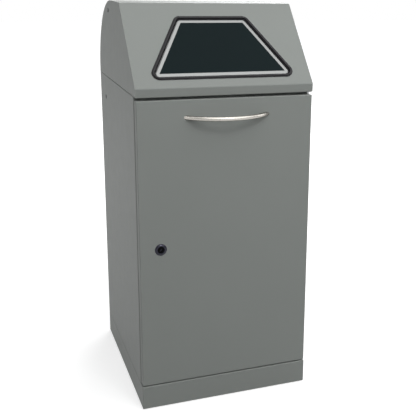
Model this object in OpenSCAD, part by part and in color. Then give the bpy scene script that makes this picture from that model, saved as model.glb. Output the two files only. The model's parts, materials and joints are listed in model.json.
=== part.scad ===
// Floor-standing recycling bin: a folded-sheet cabinet on a plinth, with a lockable door,
// a sloped hood and a self-closing trapezoid flap. Millimetres, +Z up, the front faces -Y.
// The origin is the middle of the bounding box on the floor.

/* [Cabinet] */
// Width over the side panels
cabinet_w = 400; // [360:1:480]
// Depth from the door's face to the back
cabinet_d = 440; // [400:1:520]
// Height of the body's top edge, where the hood sits
body_top = 723.5; // [640:0.5:820]
// Thickness of the folded steel sheet
sheet = 1.5; // [1:0.1:2]
// Inside radius of the folds
inner_bend = 0.5; // [0.3:0.1:1.5]
// Width of the side panels' top and bottom flanges
side_flange = 20; // [15:1:30]
// Width of the side panels' front flanges
front_flange = 25; // [20:1:32]
// Width of the side panels' back flanges
back_flange = 15; // [10:1:25]
// Height of the floor tray's side lips
tray_lip = 15; // [8:1:30]
// Height of the rail behind the door's top
rail_h = 30; // [20:1:45]
// Width of the rail's flanges
rail_flange = 20; // [12:1:26]
// Play between neighbouring sheets
sheet_gap = 0.3; // [0.2:0.1:0.6]

/* [Plinth] */
// Top of the plinth above the floor
plinth_h = 58; // [45:1:90]
// Width of the plinth's flanges
plinth_flange = 40; // [34:1:60]
// Height of a glide's foot
glide_h = 2; // [1.5:0.5:6]
// Diameter of a glide's foot
glide_d = 26; // [20:1:32]
// Diameter of a glide's stem
glide_stem_d = 8; // [6:1:10]
// Length of a glide's stem
glide_stem = 12; // [8:1:20]
// Distance of a glide from the plinth's outer faces
glide_inset = 22; // [18:1:28]

/* [Hood] */
// Height of the hood
hood_h = 186.5; // [170:0.5:210]
// Height of the upright lip over the door
lip_h = 19.5; // [12:0.5:26]
// Horizontal run of the sloped face
slope_run = 154; // [146:1:170]
// Upright stretch under the rounded back
hood_skirt = 4; // [3:0.5:12]
// Width of the hood's bottom flanges, front and back
hood_return = 40; // [34:1:46]
// Width of the cheeks' welding flange under the cover
cheek_flange = 12; // [8:1:16]
// Radius of the hood's front folds
hood_fold = 4.5; // [4.2:0.1:6]
// Diameter of the screws that hold the hood
hood_screw_d = 5; // [4:0.5:6]
// Distance of those screws from the outer side
hood_screw_inset = 12; // [10:1:14]
// Distance of those screws from the front and from the back
hood_screw_from_end = 100; // [70:1:130]

/* [Flap] */
// Half width of the dark film at its top edge
film_top_half = 72; // [62:0.5:80]
// Half width of the dark film at its bottom edge
film_bottom_half = 142; // [126:0.5:150]
// Distance down the slope from its top edge to the film
film_top = 55; // [50:0.5:58]
// Height of the film along the slope
film_h = 134.5; // [120:0.5:137]
// Thickness of the film
film_t = 0.4; // [0.2:0.1:0.8]
// Width of the bare metal band round the film
band = 8; // [6:0.5:10]
// Thickness of the flap's sheet
flap_sheet = 1.2; // [0.8:0.1:1.5]
// Depth of the flap's face below the sloped face
flap_recess = 1.5; // [0.8:0.1:2]
// Gap between the flap's raised face and the rubber trim
flap_gap = 3; // [2.5:0.1:4]
// Play between the flap's stop flange and the trim
stop_gap = 0.6; // [0.4:0.1:1]
// Reach of the stop flange past the trim's inner edge
stop_reach = 6; // [5:0.5:7]
// Distance down the slope to the hinge rod
rod_down = 30; // [27:0.5:32]
// Depth of the hinge rod below the sloped face
rod_depth = 12; // [11.5:0.1:14]
// Diameter of the hinge rod
rod_d = 6; // [5:0.5:6.5]
// Half length of the hinge rod
rod_half = 106; // [104:0.5:112]
// Distance of the hinge brackets from the middle
bracket_x = 100; // [98:0.5:102]
// Thickness of the hinge brackets
bracket_t = 2; // [1.5:0.5:3]
// Distance of the flap's lugs from the middle
lug_x = 64; // [58:0.5:66]
// Thickness of the flap's lugs
lug_t = 3; // [2:0.5:4]
// Radius of the flap's lugs
lug_r = 5.5; // [5:0.1:6]
// Running play of a pin or rod in its bore, on the radius
running_play = 0.05; // [0.03:0.01:0.08]

/* [Flap trim] */
// Width of the rubber trim
trim_w = 6.5; // [6:0.1:8]
// Height of the trim above the sloped face
trim_proud = 3.2; // [2.4:0.1:4]
// Depth of the trim behind the sheet
trim_back = 2.5; // [2:0.1:3]

/* [Flap springs] */
// Diameter of the spring wire
spring_wire = 1.6; // [1.2:0.1:1.8]
// Advance of the spring for each turn
spring_pitch = 2.4; // [2.3:0.1:3]
// Number of whole turns
spring_turns = 5; // [3:1:7]
// Slope of the leg that leans on the hood
spring_leg_slope = 15; // [12:1:25]

/* [Door] */
// Depth of the door's folded pan
door_depth = 18; // [16:0.5:20]
// Gap between the door's back and the body
door_gap_back = 2; // [1.8:0.1:3]
// Distance of the door's edge from the cabinet's outer side
door_gap_side = 1; // [0.5:0.1:1.2]
// Gap under the door
door_gap_bottom = 2.5; // [2:0.1:4]
// Gap over the door
door_gap_top = 6; // [4:0.5:8]
// Width of the pan's back flanges
pan_flange = 16; // [14:1:20]
// Height of the stiffener inside the pan
stiffener_h = 12; // [8:0.5:12]
// Width of the stiffener's crown
stiffener_w = 40; // [30:1:60]
// Width of each of the stiffener's feet
stiffener_foot = 15; // [10:1:20]
// Distance of the stiffener's ends from the door's ends
stiffener_end = 30; // [20:1:60]
// Diameter of the rubber bumpers
bumper_d = 10; // [8:0.5:12]
// Distance of the bumpers from the outer side
bumper_inset = 12; // [10:1:14]
// Distance of the bumpers from the body's ends
bumper_from_end = 100; // [60:1:160]

/* [Door hinge] */
// Diameter of the hinge pins
pin_d = 6; // [5:0.5:6]
// Distance of the hinge axis from the cabinet's outer side
pin_inset = 6.5; // [6.2:0.1:6.8]
// Distance of the hinge axis from the door's face
pin_setback = 12; // [11.6:0.1:12.4]
// Diameter of a pin's head
pin_head_d = 9; // [8:0.5:9.5]
// Height of a pin's head
pin_head_h = 3; // [2:0.5:4]
// Height of the bearing blocks in the door
block_h = 8; // [6:1:14]
// Width of the bearing blocks
block_w = 28; // [20:1:40]
// Outer diameter of the thrust washer
washer_d = 10; // [9:0.5:11]

/* [Handle] */
// Length of the bow handle
handle_l = 194; // [160:1:260]
// Distance from the door's face to the outside of the bow
handle_reach = 40; // [32:0.5:48]
// Diameter of the handle's bar
handle_bar = 10; // [8:0.5:12]
// Distance of the handle's axis below the door's top edge
handle_drop = 39; // [30:1:80]
// Diameter of the handle's screws
handle_screw_d = 4; // [3:0.5:4]
// Depth of the screws in the handle
handle_screw_in = 4.5; // [3:0.5:5]

/* [Lock] */
// Distance of the lock from the cabinet's left side
lock_inset = 48; // [46:0.5:50]
// Height of the lock above the floor
lock_z = 387; // [300:1:500]
// Diameter of the rosette
rosette_d = 27; // [24:0.5:30]
// Thickness of the rosette
rosette_t = 2; // [1.5:0.1:3]
// Diameter of the threaded barrel
barrel_d = 19; // [18:0.5:20]
// Diameter of the turning cylinder
cylinder_d = 15; // [13:0.5:15.5]
// Height of the cylinder's face above the rosette
cylinder_proud = 0.6; // [0.2:0.1:1]
// Length of the key slot
key_slot_l = 8; // [6:0.5:10]
// Width of the key slot
key_slot_w = 1.8; // [1.2:0.1:2.4]
// Depth of the key slot
key_slot_in = 5; // [3:0.5:8]
// Distance between the cam and the body's flange
cam_gap = 0.5; // [0.4:0.1:1]
// Thickness of the cam
cam_t = 2; // [1.5:0.5:3]
// Width of the cam
cam_w = 16; // [12:1:18]
// Reach of the cam from the lock's axis
cam_reach = 40; // [34:1:44]
// Thickness of the lock's nut
nut_t = 4; // [3:0.5:6]

/* [Bag frame] */
// Distance of the rails' top face below the body's top
ledge_drop = 73.5; // [69:0.5:160]
// Width of the rails' ledge
ledge_w = 24; // [18:1:28]
// Height of the rails' upright leg
ledge_leg = 25; // [15:1:40]
// Half width of the mouth
mouth_half_w = 150; // [120:1:155]
// Half depth of the mouth
mouth_half_d = 150; // [120:1:160]
// Radius of the mouth's corners
mouth_r = 35; // [20:1:60]
// Height of the skirt that the bag hangs on
skirt_h = 40; // [30:1:60]
// Size of the bead along the skirt's bottom edge
bead = 3; // [2:0.5:4]
// Height of the rubber band
band_h = 6; // [4:0.5:8]
// Thickness of the rubber band
band_t = 5; // [3:0.5:6]
// Distance of the frame from the body's front and back
frame_from_end = 28; // [20:1:40]
// Distance of the frame from the side panels
frame_side_gap = 6; // [4:0.5:10]

/* [Side plugs] */
// Diameter of a plug's cap
plug_d = 10; // [8:0.5:14]
// Height of a plug's cap
plug_cap = 1.2; // [0.8:0.1:2]
// Diameter of a plug's shank
plug_shank_d = 7; // [5:0.5:7.5]
// Length of a plug's shank
plug_shank = 5; // [4:0.5:8]
// Distance of the body's plugs from the back
plug_from_back = 74; // [50:1:150]
// Distance of the body's plugs below the body's top
plug_below_top = 53; // [45:1:60]
// Distance of the hood's plugs from the back
hood_plug_from_back = 144; // [130:1:190]
// Distance of the hood's plugs below the hood's top
hood_plug_below_top = 24; // [20:1:40]

/* [Hidden] */

$fn = 64;
paint_grey = [0.47, 0.48, 0.46];
paint_inside = [0.52, 0.53, 0.51];
zinc = [0.72, 0.73, 0.74];
stainless = [0.78, 0.78, 0.76];
rubber_black = [0.09, 0.09, 0.1];
plastic_black = [0.07, 0.08, 0.1];
film_dark = [0.12, 0.16, 0.17];
nylon = [0.85, 0.85, 0.82];

// Steps of a small fold, of the large round back and of the flap's corners
fold_step = 22.5;
round_step = 4;
large_radius = 30;
corner_steps = 6;
// Length by which a cutting solid runs past the face that it opens
past = 1;

half_w = cabinet_w / 2;
front_y = handle_reach - (cabinet_d + handle_reach) / 2;
back_y = front_y + cabinet_d;
total_h = body_top + hood_h;
fold = sheet + inner_bend;
inner_half_w = half_w - sheet;
body_front = front_y + door_depth + door_gap_back;

slope_top_y = front_y + slope_run;
slope_angle = atan2(hood_h - lip_h, slope_run);

film_bottom = film_top + film_h;
film_corners = [
    [-film_top_half, -film_top],
    [-film_bottom_half, -film_bottom],
    [film_bottom_half, -film_bottom],
    [film_top_half, -film_top]
];
trim_in = band + flap_gap;
trim_out = trim_in + trim_w;
trim_play = 0.1;
cutout = trim_in + 2.5;
stop_front = sheet + trim_back + stop_gap;
stop_back = stop_front + flap_sheet;
stop_out = trim_in + stop_reach;

spring_seat = 0.2;
spring_r = rod_depth - stop_back - spring_wire / 2 - spring_seat;
spring_x = lug_x + lug_t + 2;

door_half = half_w - door_gap_side;
door_bottom = plinth_h + door_gap_bottom;
door_top = body_top - door_gap_top;
pin_x = half_w - pin_inset;
pin_y = front_y + pin_setback;
bend_clear = inner_bend + 0.1;

handle_z = door_top - handle_drop;
handle_out_r = (pow(handle_l / 2, 2) + pow(handle_reach, 2)) / (2 * handle_reach);
handle_in_half = sqrt(pow(handle_out_r - handle_bar, 2) - pow(handle_out_r - handle_reach, 2));
handle_screw_x = (handle_l / 2 + handle_in_half) / 2;

lock_x = lock_inset - half_w;
cam_front = door_depth + door_gap_back + sheet + cam_gap;
barrel_end = cam_front - 1;

ledge_z = body_top - ledge_drop;
frame_front = body_front + frame_from_end;
frame_back = back_y - frame_from_end;
frame_mid = (frame_front + frame_back) / 2;

function unit(v) = v / norm(v);
function left_of(v) = [-v[1], v[0]];
function turned(v, angle) = [
    v[0] * cos(angle) - v[1] * sin(angle),
    v[0] * sin(angle) + v[1] * cos(angle)
];
function turn_between(a, b) = atan2(a[0] * b[1] - a[1] * b[0], a * b);
function reversed(list) = [for (i = [len(list) - 1 : -1 : 0]) list[i]];
function fold_steps(radius, angle) = ceil(abs(angle) / (radius > large_radius ? round_step : fold_step));

// One face of a folded sheet. The path runs along the outside with the sheet on its left, radii
// are the outer radii of its folds, and shift is how far the face lies from the path.
function face_points(path, radii, t, shift) = [
    path[0] + left_of(unit(path[1] - path[0])) * shift,
    for (i = [1 : len(path) - 2])
        let (
            a = unit(path[i] - path[i - 1]),
            b = unit(path[i + 1] - path[i]),
            angle = turn_between(a, b),
            reach = angle > 0 ? radii[i - 1] : t - radii[i - 1],
            centre = path[i] + (left_of(a) + left_of(b)) * reach / (1 + a * b),
            steps = fold_steps(radii[i - 1], angle)
        )
        for (k = [0 : steps]) centre - left_of(turned(a, angle * k / steps)) * (reach - shift),
    path[len(path) - 1] + left_of(unit(path[len(path) - 1] - path[len(path) - 2])) * shift
];
function folded_outline(path, radii, t) = concat(
    face_points(path, radii, t, 0),
    reversed(face_points(path, radii, t, t))
);

function round_rect(half_x, half_y, r) = [
    for (i = [0 : 3])
        let (sx = [1, -1, -1, 1][i], sy = [1, 1, -1, -1][i])
        for (k = [0 : corner_steps])
            let (angle = 90 * (i + k / corner_steps))
            [sx * (half_x - r) + r * cos(angle), sy * (half_y - r) + r * sin(angle)]
];

// The film's trapezoid grown by a distance, with round corners
function grown_film(distance) = [
    for (i = [0 : 3])
        let (
            corner = film_corners[i],
            a = unit(corner - film_corners[(i + 3) % 4]),
            b = unit(film_corners[(i + 1) % 4] - corner),
            angle = turn_between(a, b)
        )
        for (k = [0 : corner_steps])
            corner - left_of(turned(a, angle * k / corner_steps)) * distance
];

module along_x(x0, x1) {
    translate([x0, 0, 0]) rotate([90, 0, 90]) linear_extrude(x1 - x0) children();
}

module along_y(y0, y1) {
    translate([0, y1, 0]) rotate([90, 0, 0]) linear_extrude(y1 - y0) children();
}

module along_z(z0, z1) {
    translate([0, 0, z0]) linear_extrude(z1 - z0) children();
}

module block(low, high) {
    translate(low) cube(high - low);
}

// A box whose edges are all rounded
module soft_box(low, high, r) {
    mid = (low + high) / 2;
    half = (high - low) / 2;
    intersection() {
        along_z(low[2], high[2]) translate([mid[0], mid[1]]) polygon(round_rect(half[0], half[1], r));
        along_x(low[0], high[0]) translate([mid[1], mid[2]]) polygon(round_rect(half[1], half[2], r));
        along_y(low[1], high[1]) translate([mid[0], mid[2]]) polygon(round_rect(half[0], half[2], r));
    }
}

module both_sides() {
    children();
    mirror([1, 0, 0]) children();
}

// Frame of the sloped face: X across, Y up the slope from its top edge, Z out of the face
module at_slope() {
    translate([0, slope_top_y, total_h]) rotate([slope_angle, 0, 0]) children();
}

// The same directions, centred on the hinge rod
module at_rod() {
    at_slope() translate([0, -rod_down, -rod_depth]) children();
}

// Z runs into the door along the lock's axis, Y points down
module at_lock() {
    translate([lock_x, front_y, lock_z]) rotate([-90, 0, 0]) children();
}

module plinth() {
    color(paint_grey) difference() {
        soft_box([-half_w, front_y, glide_h], [half_w, back_y, plinth_h], fold);
        soft_box(
            [-inner_half_w, front_y + sheet, glide_h + sheet],
            [inner_half_w, back_y - sheet, plinth_h - sheet],
            inner_bend
        );
        block(
            [plinth_flange - half_w, front_y + plinth_flange, glide_h - past],
            [half_w - plinth_flange, back_y - plinth_flange, plinth_h + past]
        );
        each_glide() translate([0, 0, glide_h - past])
            cylinder(d = glide_stem_d + 2 * sheet_gap, h = sheet + 2 * past);
        translate([pin_x, pin_y, plinth_h - sheet - past])
            cylinder(d = pin_d + 2 * running_play, h = sheet + 2 * past);
    }
}

module each_glide() {
    for (x = [glide_inset - half_w, half_w - glide_inset])
        for (y = [front_y + glide_inset, back_y - glide_inset])
            translate([x, y, 0]) children();
}

module plinth_glides() {
    chamfer = glide_h / 3;
    color(plastic_black) each_glide() rotate_extrude() polygon([
        [0, 0],
        [glide_d / 2 - chamfer, 0],
        [glide_d / 2, chamfer],
        [glide_d / 2, glide_h],
        [glide_stem_d / 2, glide_h],
        [glide_stem_d / 2, glide_h + glide_stem],
        [0, glide_h + glide_stem]
    ]);
}

module floor_panel() {
    tray_half = inner_half_w - sheet_gap;
    tray_z = plinth_h + sheet;
    color(paint_inside) along_y(body_front + sheet + bend_clear, back_y - 2 * sheet - bend_clear)
        polygon(folded_outline(
            [
                [-tray_half, tray_z + tray_lip],
                [-tray_half, tray_z],
                [tray_half, tray_z],
                [tray_half, tray_z + tray_lip]
            ],
            [fold, fold], sheet
        ));
}

module side_panel() {
    difference() {
        union() {
            along_y(body_front + fold, back_y - fold) polygon(folded_outline(
                [
                    [side_flange - half_w, body_top],
                    [-half_w, body_top],
                    [-half_w, plinth_h],
                    [side_flange - half_w, plinth_h]
                ],
                [fold, fold], sheet
            ));
            along_z(plinth_h + fold, body_top - fold) polygon(folded_outline(
                [
                    [back_flange - half_w, back_y],
                    [-half_w, back_y],
                    [-half_w, body_front],
                    [front_flange - half_w, body_front]
                ],
                [fold, fold], sheet
            ));
        }
        hood_screw_holes(body_top - sheet);
        plug_hole(back_y - plug_from_back, body_top - plug_below_top);
    }
}

module left_side_panel() {
    color(paint_grey) side_panel();
}

module right_side_panel() {
    color(paint_grey) mirror([1, 0, 0]) side_panel();
}

module hood_screw_holes(z) {
    for (y = [front_y + hood_screw_from_end, back_y - hood_screw_from_end])
        translate([hood_screw_inset - half_w, y, z - past])
            cylinder(d = hood_screw_d + 2 * sheet_gap, h = sheet + 2 * past);
}

module plug_hole(y, z) {
    translate([-half_w - past, y, z]) rotate([0, 90, 0])
        cylinder(d = plug_shank_d + 2 * trim_play, h = sheet + 2 * past);
}

module back_panel() {
    web_y = back_y - sheet;
    flange_half = half_w - side_flange - sheet_gap;
    web_half = inner_half_w - bend_clear;
    color(paint_grey) {
        along_x(-flange_half, flange_half) polygon(folded_outline(
            [
                [web_y - side_flange, plinth_h],
                [web_y, plinth_h],
                [web_y, body_top],
                [web_y - side_flange, body_top]
            ],
            [fold, fold], sheet
        ));
        block([-web_half, web_y - sheet, plinth_h + fold], [web_half, web_y, body_top - fold]);
    }
}

module top_rail() {
    web_y = body_front + sheet;
    rail_top = body_top - sheet;
    rail_half = inner_half_w - bend_clear;
    color(paint_grey) along_x(-rail_half, rail_half) polygon(folded_outline(
        [
            [web_y + rail_flange, rail_top],
            [web_y, rail_top],
            [web_y, rail_top - rail_h],
            [web_y + rail_flange, rail_top - rail_h]
        ],
        [fold, fold], sheet
    ));
}

hood_profile = [
    [back_y, body_top],
    [back_y, total_h],
    [slope_top_y, total_h],
    [front_y, body_top + lip_h],
    [front_y, body_top]
];
hood_radii = [hood_h - hood_skirt, hood_fold, hood_fold];

module hood_shell() {
    notch = sheet + sheet_gap;
    color(paint_grey) difference() {
        along_x(-half_w, half_w) polygon(folded_outline(
            concat(
                [[back_y - hood_return, body_top]],
                hood_profile,
                [[front_y + hood_return, body_top]]
            ),
            concat([fold], hood_radii, [fold]), sheet
        ));
        at_slope() along_z(-sheet - past, past) polygon(grown_film(cutout));
        both_sides() block(
            [-half_w - past, front_y + sheet, body_top - past],
            [notch - half_w, back_y - sheet, body_top + fold]
        );
        translate([pin_x, pin_y, body_top - past])
            cylinder(d = pin_d + 2 * running_play, h = sheet + 2 * past);
    }
}

module hood_cheek() {
    flange_end = hood_return + sheet_gap;
    inner_profile = face_points(hood_profile, hood_radii, sheet, sheet);
    difference() {
        union() {
            intersection() {
                along_x(-half_w, side_flange - half_w) polygon(inner_profile);
                along_y(front_y, back_y) polygon(folded_outline(
                    [
                        [-half_w, total_h],
                        [-half_w, body_top],
                        [side_flange - half_w, body_top]
                    ],
                    [fold], sheet
                ));
            }
            intersection() {
                along_x(-inner_half_w - sheet / 2, cheek_flange - half_w) polygon(concat(
                    inner_profile,
                    reversed(face_points(hood_profile, hood_radii, sheet, 2 * sheet))
                ));
                block([-half_w, front_y, body_top + fold + sheet], [0, back_y, total_h]);
            }
        }
        block(
            [sheet_gap / 3 - inner_half_w, front_y, body_top - past],
            [0, front_y + flange_end, body_top + fold]
        );
        block(
            [sheet_gap / 3 - inner_half_w, back_y - flange_end, body_top - past],
            [0, back_y, body_top + fold]
        );
        hood_screw_holes(body_top);
        plug_hole(back_y - hood_plug_from_back, total_h - hood_plug_below_top);
    }
}

module hood_cheek_left() {
    color(paint_grey) hood_cheek();
}

module hood_cheek_right() {
    color(paint_grey) mirror([1, 0, 0]) hood_cheek();
}

module hood_screws() {
    head_h = 3;
    grip = 8;
    color(zinc) both_sides()
        for (y = [front_y + hood_screw_from_end, back_y - hood_screw_from_end])
            translate([hood_screw_inset - half_w, y, body_top + sheet]) {
                cylinder(d = hood_screw_d * 1.8, h = head_h);
                translate([0, 0, -grip]) cylinder(d = hood_screw_d, h = grip);
            }
}

module side_plug(y, z) {
    edge = plug_cap / 2;
    translate([-half_w, y, z]) rotate([0, 90, 0]) rotate_extrude() polygon([
        [0, -plug_cap],
        [plug_d / 2 - edge, -plug_cap],
        [plug_d / 2, edge - plug_cap],
        [plug_d / 2, 0],
        [plug_shank_d / 2, 0],
        [plug_shank_d / 2, plug_shank],
        [0, plug_shank]
    ]);
}

module side_plugs() {
    color(plastic_black) both_sides() {
        side_plug(back_y - plug_from_back, body_top - plug_below_top);
        side_plug(back_y - hood_plug_from_back, total_h - hood_plug_below_top);
    }
}

// Section of the rubber trim: distance from the film's edge, height over the sloped face. A round
// bead lies on the sheet, a slot grips the cut-out's edge and a smaller bead lies behind it.
trim_mid = (trim_in + trim_out) / 2;
bead_base = trim_proud / 3;
back_face = -sheet - trim_play;
trim_section = concat(
    [
        for (k = [0 : 8])
            [trim_mid - trim_w / 2 * cos(22.5 * k), bead_base + (trim_proud - bead_base) * sin(22.5 * k)]
    ],
    [
        [trim_out, trim_play],
        [cutout - 3 * trim_play, trim_play],
        [cutout - 3 * trim_play, back_face],
        [trim_out - 1, back_face],
        [trim_out - 1, back_face - trim_back / 2],
        [trim_out - 2, -sheet - trim_back],
        [trim_in + 0.5, -sheet - trim_back],
        [trim_in, 0.5 - sheet - trim_back]
    ]
);

module opening_trim() {
    rings = [for (p = trim_section) grown_film(p[0])];
    n = len(trim_section);
    m = len(rings[0]);
    color(rubber_black) at_slope() polyhedron(
        points = [for (j = [0 : n - 1]) for (p = rings[j]) [p[0], p[1], trim_section[j][1]]],
        faces = [
            for (j = [0 : n - 1])
                for (i = [0 : m - 1])
                    let (
                        a = j * m + i,
                        b = j * m + (i + 1) % m,
                        c = (j + 1) % n * m + (i + 1) % m,
                        d = (j + 1) % n * m + i
                    )
                    for (face = [[a, b, c], [a, c, d]]) face
        ]
    );
}

module flap_hinge_brackets() {
    ear_r = 8;
    under = rod_depth - sheet;
    foot_w = 18;
    foot_half = 12;
    color(zinc) both_sides() at_rod() difference() {
        union() {
            along_x(bracket_x, bracket_x + bracket_t) {
                circle(r = ear_r);
                translate([-ear_r, 0]) square([2 * ear_r, under]);
            }
            along_x(bracket_x, bracket_x + foot_w)
                translate([-foot_half, under - bracket_t]) square([2 * foot_half, bracket_t]);
        }
        along_x(bracket_x - past, bracket_x + bracket_t + past)
            circle(r = rod_d / 2 + running_play);
    }
}

module flap_hinge_rod() {
    color(zinc) at_rod() along_x(-rod_half, rod_half) circle(d = rod_d);
}

module rod_clips() {
    clip_t = 1;
    clip_r = rod_d / 2 + 3;
    clip_x = bracket_x + bracket_t + 0.2;
    color(zinc) both_sides() at_rod() along_x(clip_x, clip_x + clip_t) difference() {
        circle(r = clip_r);
        circle(r = rod_d / 2 + running_play);
        translate([-rod_d / 3, -clip_r - past]) square([rod_d * 2 / 3, clip_r + past]);
    }
}

// Centre line of a torsion spring, in the rod's frame: a leg behind the flap's stop flange, the
// turns, and a leg under the sloped face
rings_per_turn = 8;
wire_sides = 6;
flap_leg = film_top - trim_in - rod_down;
hood_leg_rise = rod_depth - sheet - spring_wire / 2 - spring_seat - spring_r * cos(spring_leg_slope);
hood_leg = hood_leg_rise / sin(spring_leg_slope);
coil_angle = 360 * spring_turns - spring_leg_slope;
coil_rings = rings_per_turn * spring_turns;
coil_end = spring_x + spring_pitch * coil_angle / 360;
coil_points = [
    for (k = [0 : coil_rings])
        let (angle = 90 + coil_angle * k / coil_rings)
        [
            spring_x + spring_pitch * coil_angle / 360 * k / coil_rings,
            -spring_r * cos(angle),
            spring_r * sin(angle)
        ]
];
spring_line = concat(
    [[spring_x, -flap_leg, spring_r]],
    coil_points,
    [coil_points[coil_rings] + hood_leg * [0, cos(spring_leg_slope), sin(spring_leg_slope)]]
);
// Least gap between two turns, measured on the centre line's points
spring_gaps = [
    for (i = [0 : coil_rings])
        for (k = [i + rings_per_turn / 2 : 1 : coil_rings])
            norm(coil_points[k] - coil_points[i]) - spring_wire
];
echo(spring_least_gap = min(spring_gaps));

function line_direction(line, i) = unit(
    i == 0 ? line[1] - line[0]
    : i == len(line) - 1 ? line[i] - line[i - 1]
    : unit(line[i + 1] - line[i]) + unit(line[i] - line[i - 1])
);

module wire(line, d) {
    n = len(line);
    rings = [
        for (i = [0 : n - 1])
            let (
                ahead = line_direction(line, i),
                across = unit(cross(ahead, cross([1, 0, 0], ahead))),
                up = cross(ahead, across)
            )
            for (k = [0 : wire_sides - 1])
                line[i] + d / 2 * (across * cos(360 * k / wire_sides) + up * sin(360 * k / wire_sides))
    ];
    polyhedron(
        points = concat(rings, [line[0], line[n - 1]]),
        faces = [
            for (i = [0 : n - 2])
                for (k = [0 : wire_sides - 1])
                    let (
                        a = i * wire_sides + k,
                        b = i * wire_sides + (k + 1) % wire_sides,
                        c = b + wire_sides,
                        e = a + wire_sides
                    )
                    for (face = [[a, c, b], [a, e, c]]) face,
            for (k = [0 : wire_sides - 1]) [n * wire_sides, k, (k + 1) % wire_sides],
            for (k = [0 : wire_sides - 1]) [
                n * wire_sides + 1,
                (n - 1) * wire_sides + (k + 1) % wire_sides,
                (n - 1) * wire_sides + k
            ]
        ]
    );
}

module flap_springs() {
    color(zinc) both_sides() at_rod() wire(spring_line, spring_wire);
}

module flap_plate() {
    stop_q = rod_depth - stop_back;
    lug_foot = film_top - band + flap_sheet - rod_down;
    color(stainless) {
        at_slope() difference() {
            along_z(-stop_back, -flap_recess) polygon(grown_film(band));
            along_z(-stop_back - past, -flap_recess - flap_sheet) polygon(grown_film(band - flap_sheet));
        }
        at_slope() difference() {
            along_z(-stop_back, -stop_front) polygon(grown_film(stop_out));
            along_z(-stop_back - past, past - stop_front) polygon(grown_film(band - flap_sheet / 2));
        }
        both_sides() at_rod() difference() {
            along_x(lug_x, lug_x + lug_t) {
                circle(r = lug_r);
                polygon([
                    [-lug_foot, stop_q],
                    [-lug_foot, stop_q - 2],
                    [-lug_r * sin(60), -lug_r * cos(60)],
                    [0, 0],
                    [0, lug_r],
                    [stop_out - film_top + rod_down, stop_q]
                ]);
            }
            along_x(lug_x - past, lug_x + lug_t + past) circle(r = rod_d / 2 + running_play);
        }
    }
}

module flap_film() {
    color(film_dark) at_slope() along_z(-flap_recess, film_t - flap_recess) polygon(film_corners);
}

module bag_rails() {
    color(zinc) both_sides() along_y(frame_front, frame_back) polygon(folded_outline(
        [
            [ledge_w - inner_half_w, ledge_z],
            [-inner_half_w, ledge_z],
            [-inner_half_w, ledge_z - ledge_leg]
        ],
        [fold], sheet
    ));
}

module bag_frame() {
    frame_half_w = inner_half_w - frame_side_gap;
    frame_half_d = (frame_back - frame_front) / 2;
    frame_corner = 12;
    skirt_bottom = ledge_z + sheet - skirt_h;
    color(zinc) translate([0, frame_mid, 0]) difference() {
        union() {
            along_z(ledge_z, ledge_z + sheet) polygon(round_rect(frame_half_w, frame_half_d, frame_corner));
            along_z(skirt_bottom, ledge_z + sheet)
                polygon(round_rect(mouth_half_w + sheet, mouth_half_d + sheet, mouth_r + sheet));
            along_z(skirt_bottom, skirt_bottom + bead) polygon(round_rect(
                mouth_half_w + sheet + bead, mouth_half_d + sheet + bead, mouth_r + sheet + bead
            ));
        }
        along_z(skirt_bottom - past, ledge_z + sheet + past)
            polygon(round_rect(mouth_half_w, mouth_half_d, mouth_r));
    }
}

module bag_band() {
    inside = sheet + trim_play;
    band_z = ledge_z + sheet - skirt_h + bead + trim_play;
    color(rubber_black) translate([0, frame_mid, 0]) along_z(band_z, band_z + band_h) difference() {
        polygon(round_rect(
            mouth_half_w + inside + band_t, mouth_half_d + inside + band_t, mouth_r + inside + band_t
        ));
        polygon(round_rect(mouth_half_w + inside, mouth_half_d + inside, mouth_r + inside));
    }
}

module hinge_pin(reach) {
    cylinder(d = pin_head_d, h = pin_head_h);
    translate([0, 0, pin_head_h]) cylinder(d = pin_d, h = reach);
}

pin_reach_in_door = sheet + block_h - 1;

module lower_hinge_pin() {
    color(zinc) translate([pin_x, pin_y, plinth_h - sheet - pin_head_h])
        hinge_pin(sheet + door_gap_bottom + pin_reach_in_door);
}

module upper_hinge_pin() {
    color(zinc) translate([pin_x, pin_y, body_top + sheet + pin_head_h]) mirror([0, 0, 1])
        hinge_pin(sheet + door_gap_top + pin_reach_in_door);
}

module thrust_washer() {
    color(nylon) translate([pin_x, pin_y, plinth_h]) difference() {
        cylinder(d = washer_d, h = door_gap_bottom - sheet_gap);
        translate([0, 0, -past])
            cylinder(d = pin_d + 2 * running_play, h = door_gap_bottom + 2 * past);
    }
}

module door_bumpers() {
    bumper_h = door_gap_back - sheet_gap;
    color(rubber_black)
        for (z = [plinth_h + bumper_from_end, body_top - bumper_from_end])
            translate([bumper_inset - half_w, body_front, z]) rotate([90, 0, 0])
                cylinder(d1 = bumper_d, d2 = bumper_d - bumper_h, h = bumper_h);
}

module door_panel() {
    pan_back = front_y + door_depth;
    inner_half = door_half - sheet;
    hole_play = 0.4;
    color(paint_grey) difference() {
        soft_box([-door_half, front_y, door_bottom], [door_half, pan_back, door_top], fold);
        soft_box(
            [-inner_half, front_y + sheet, door_bottom + sheet],
            [inner_half, pan_back - sheet, door_top - sheet],
            inner_bend
        );
        block(
            [pan_flange - door_half, pan_back - sheet - past, door_bottom + pan_flange],
            [door_half - pan_flange, pan_back + past, door_top - pan_flange]
        );
        for (z = [door_bottom, door_top - sheet])
            translate([pin_x, pin_y, z - past])
                cylinder(r = pin_d / 2 + hole_play, h = sheet + 2 * past);
        at_lock() translate([0, 0, -past]) cylinder(d = barrel_d + 2 * trim_play, h = sheet + 2 * past);
        both_sides() translate([-handle_screw_x, front_y - past, handle_z]) rotate([-90, 0, 0])
            cylinder(d = handle_screw_d + 4 * trim_play, h = sheet + 2 * past);
    }
}

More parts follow.
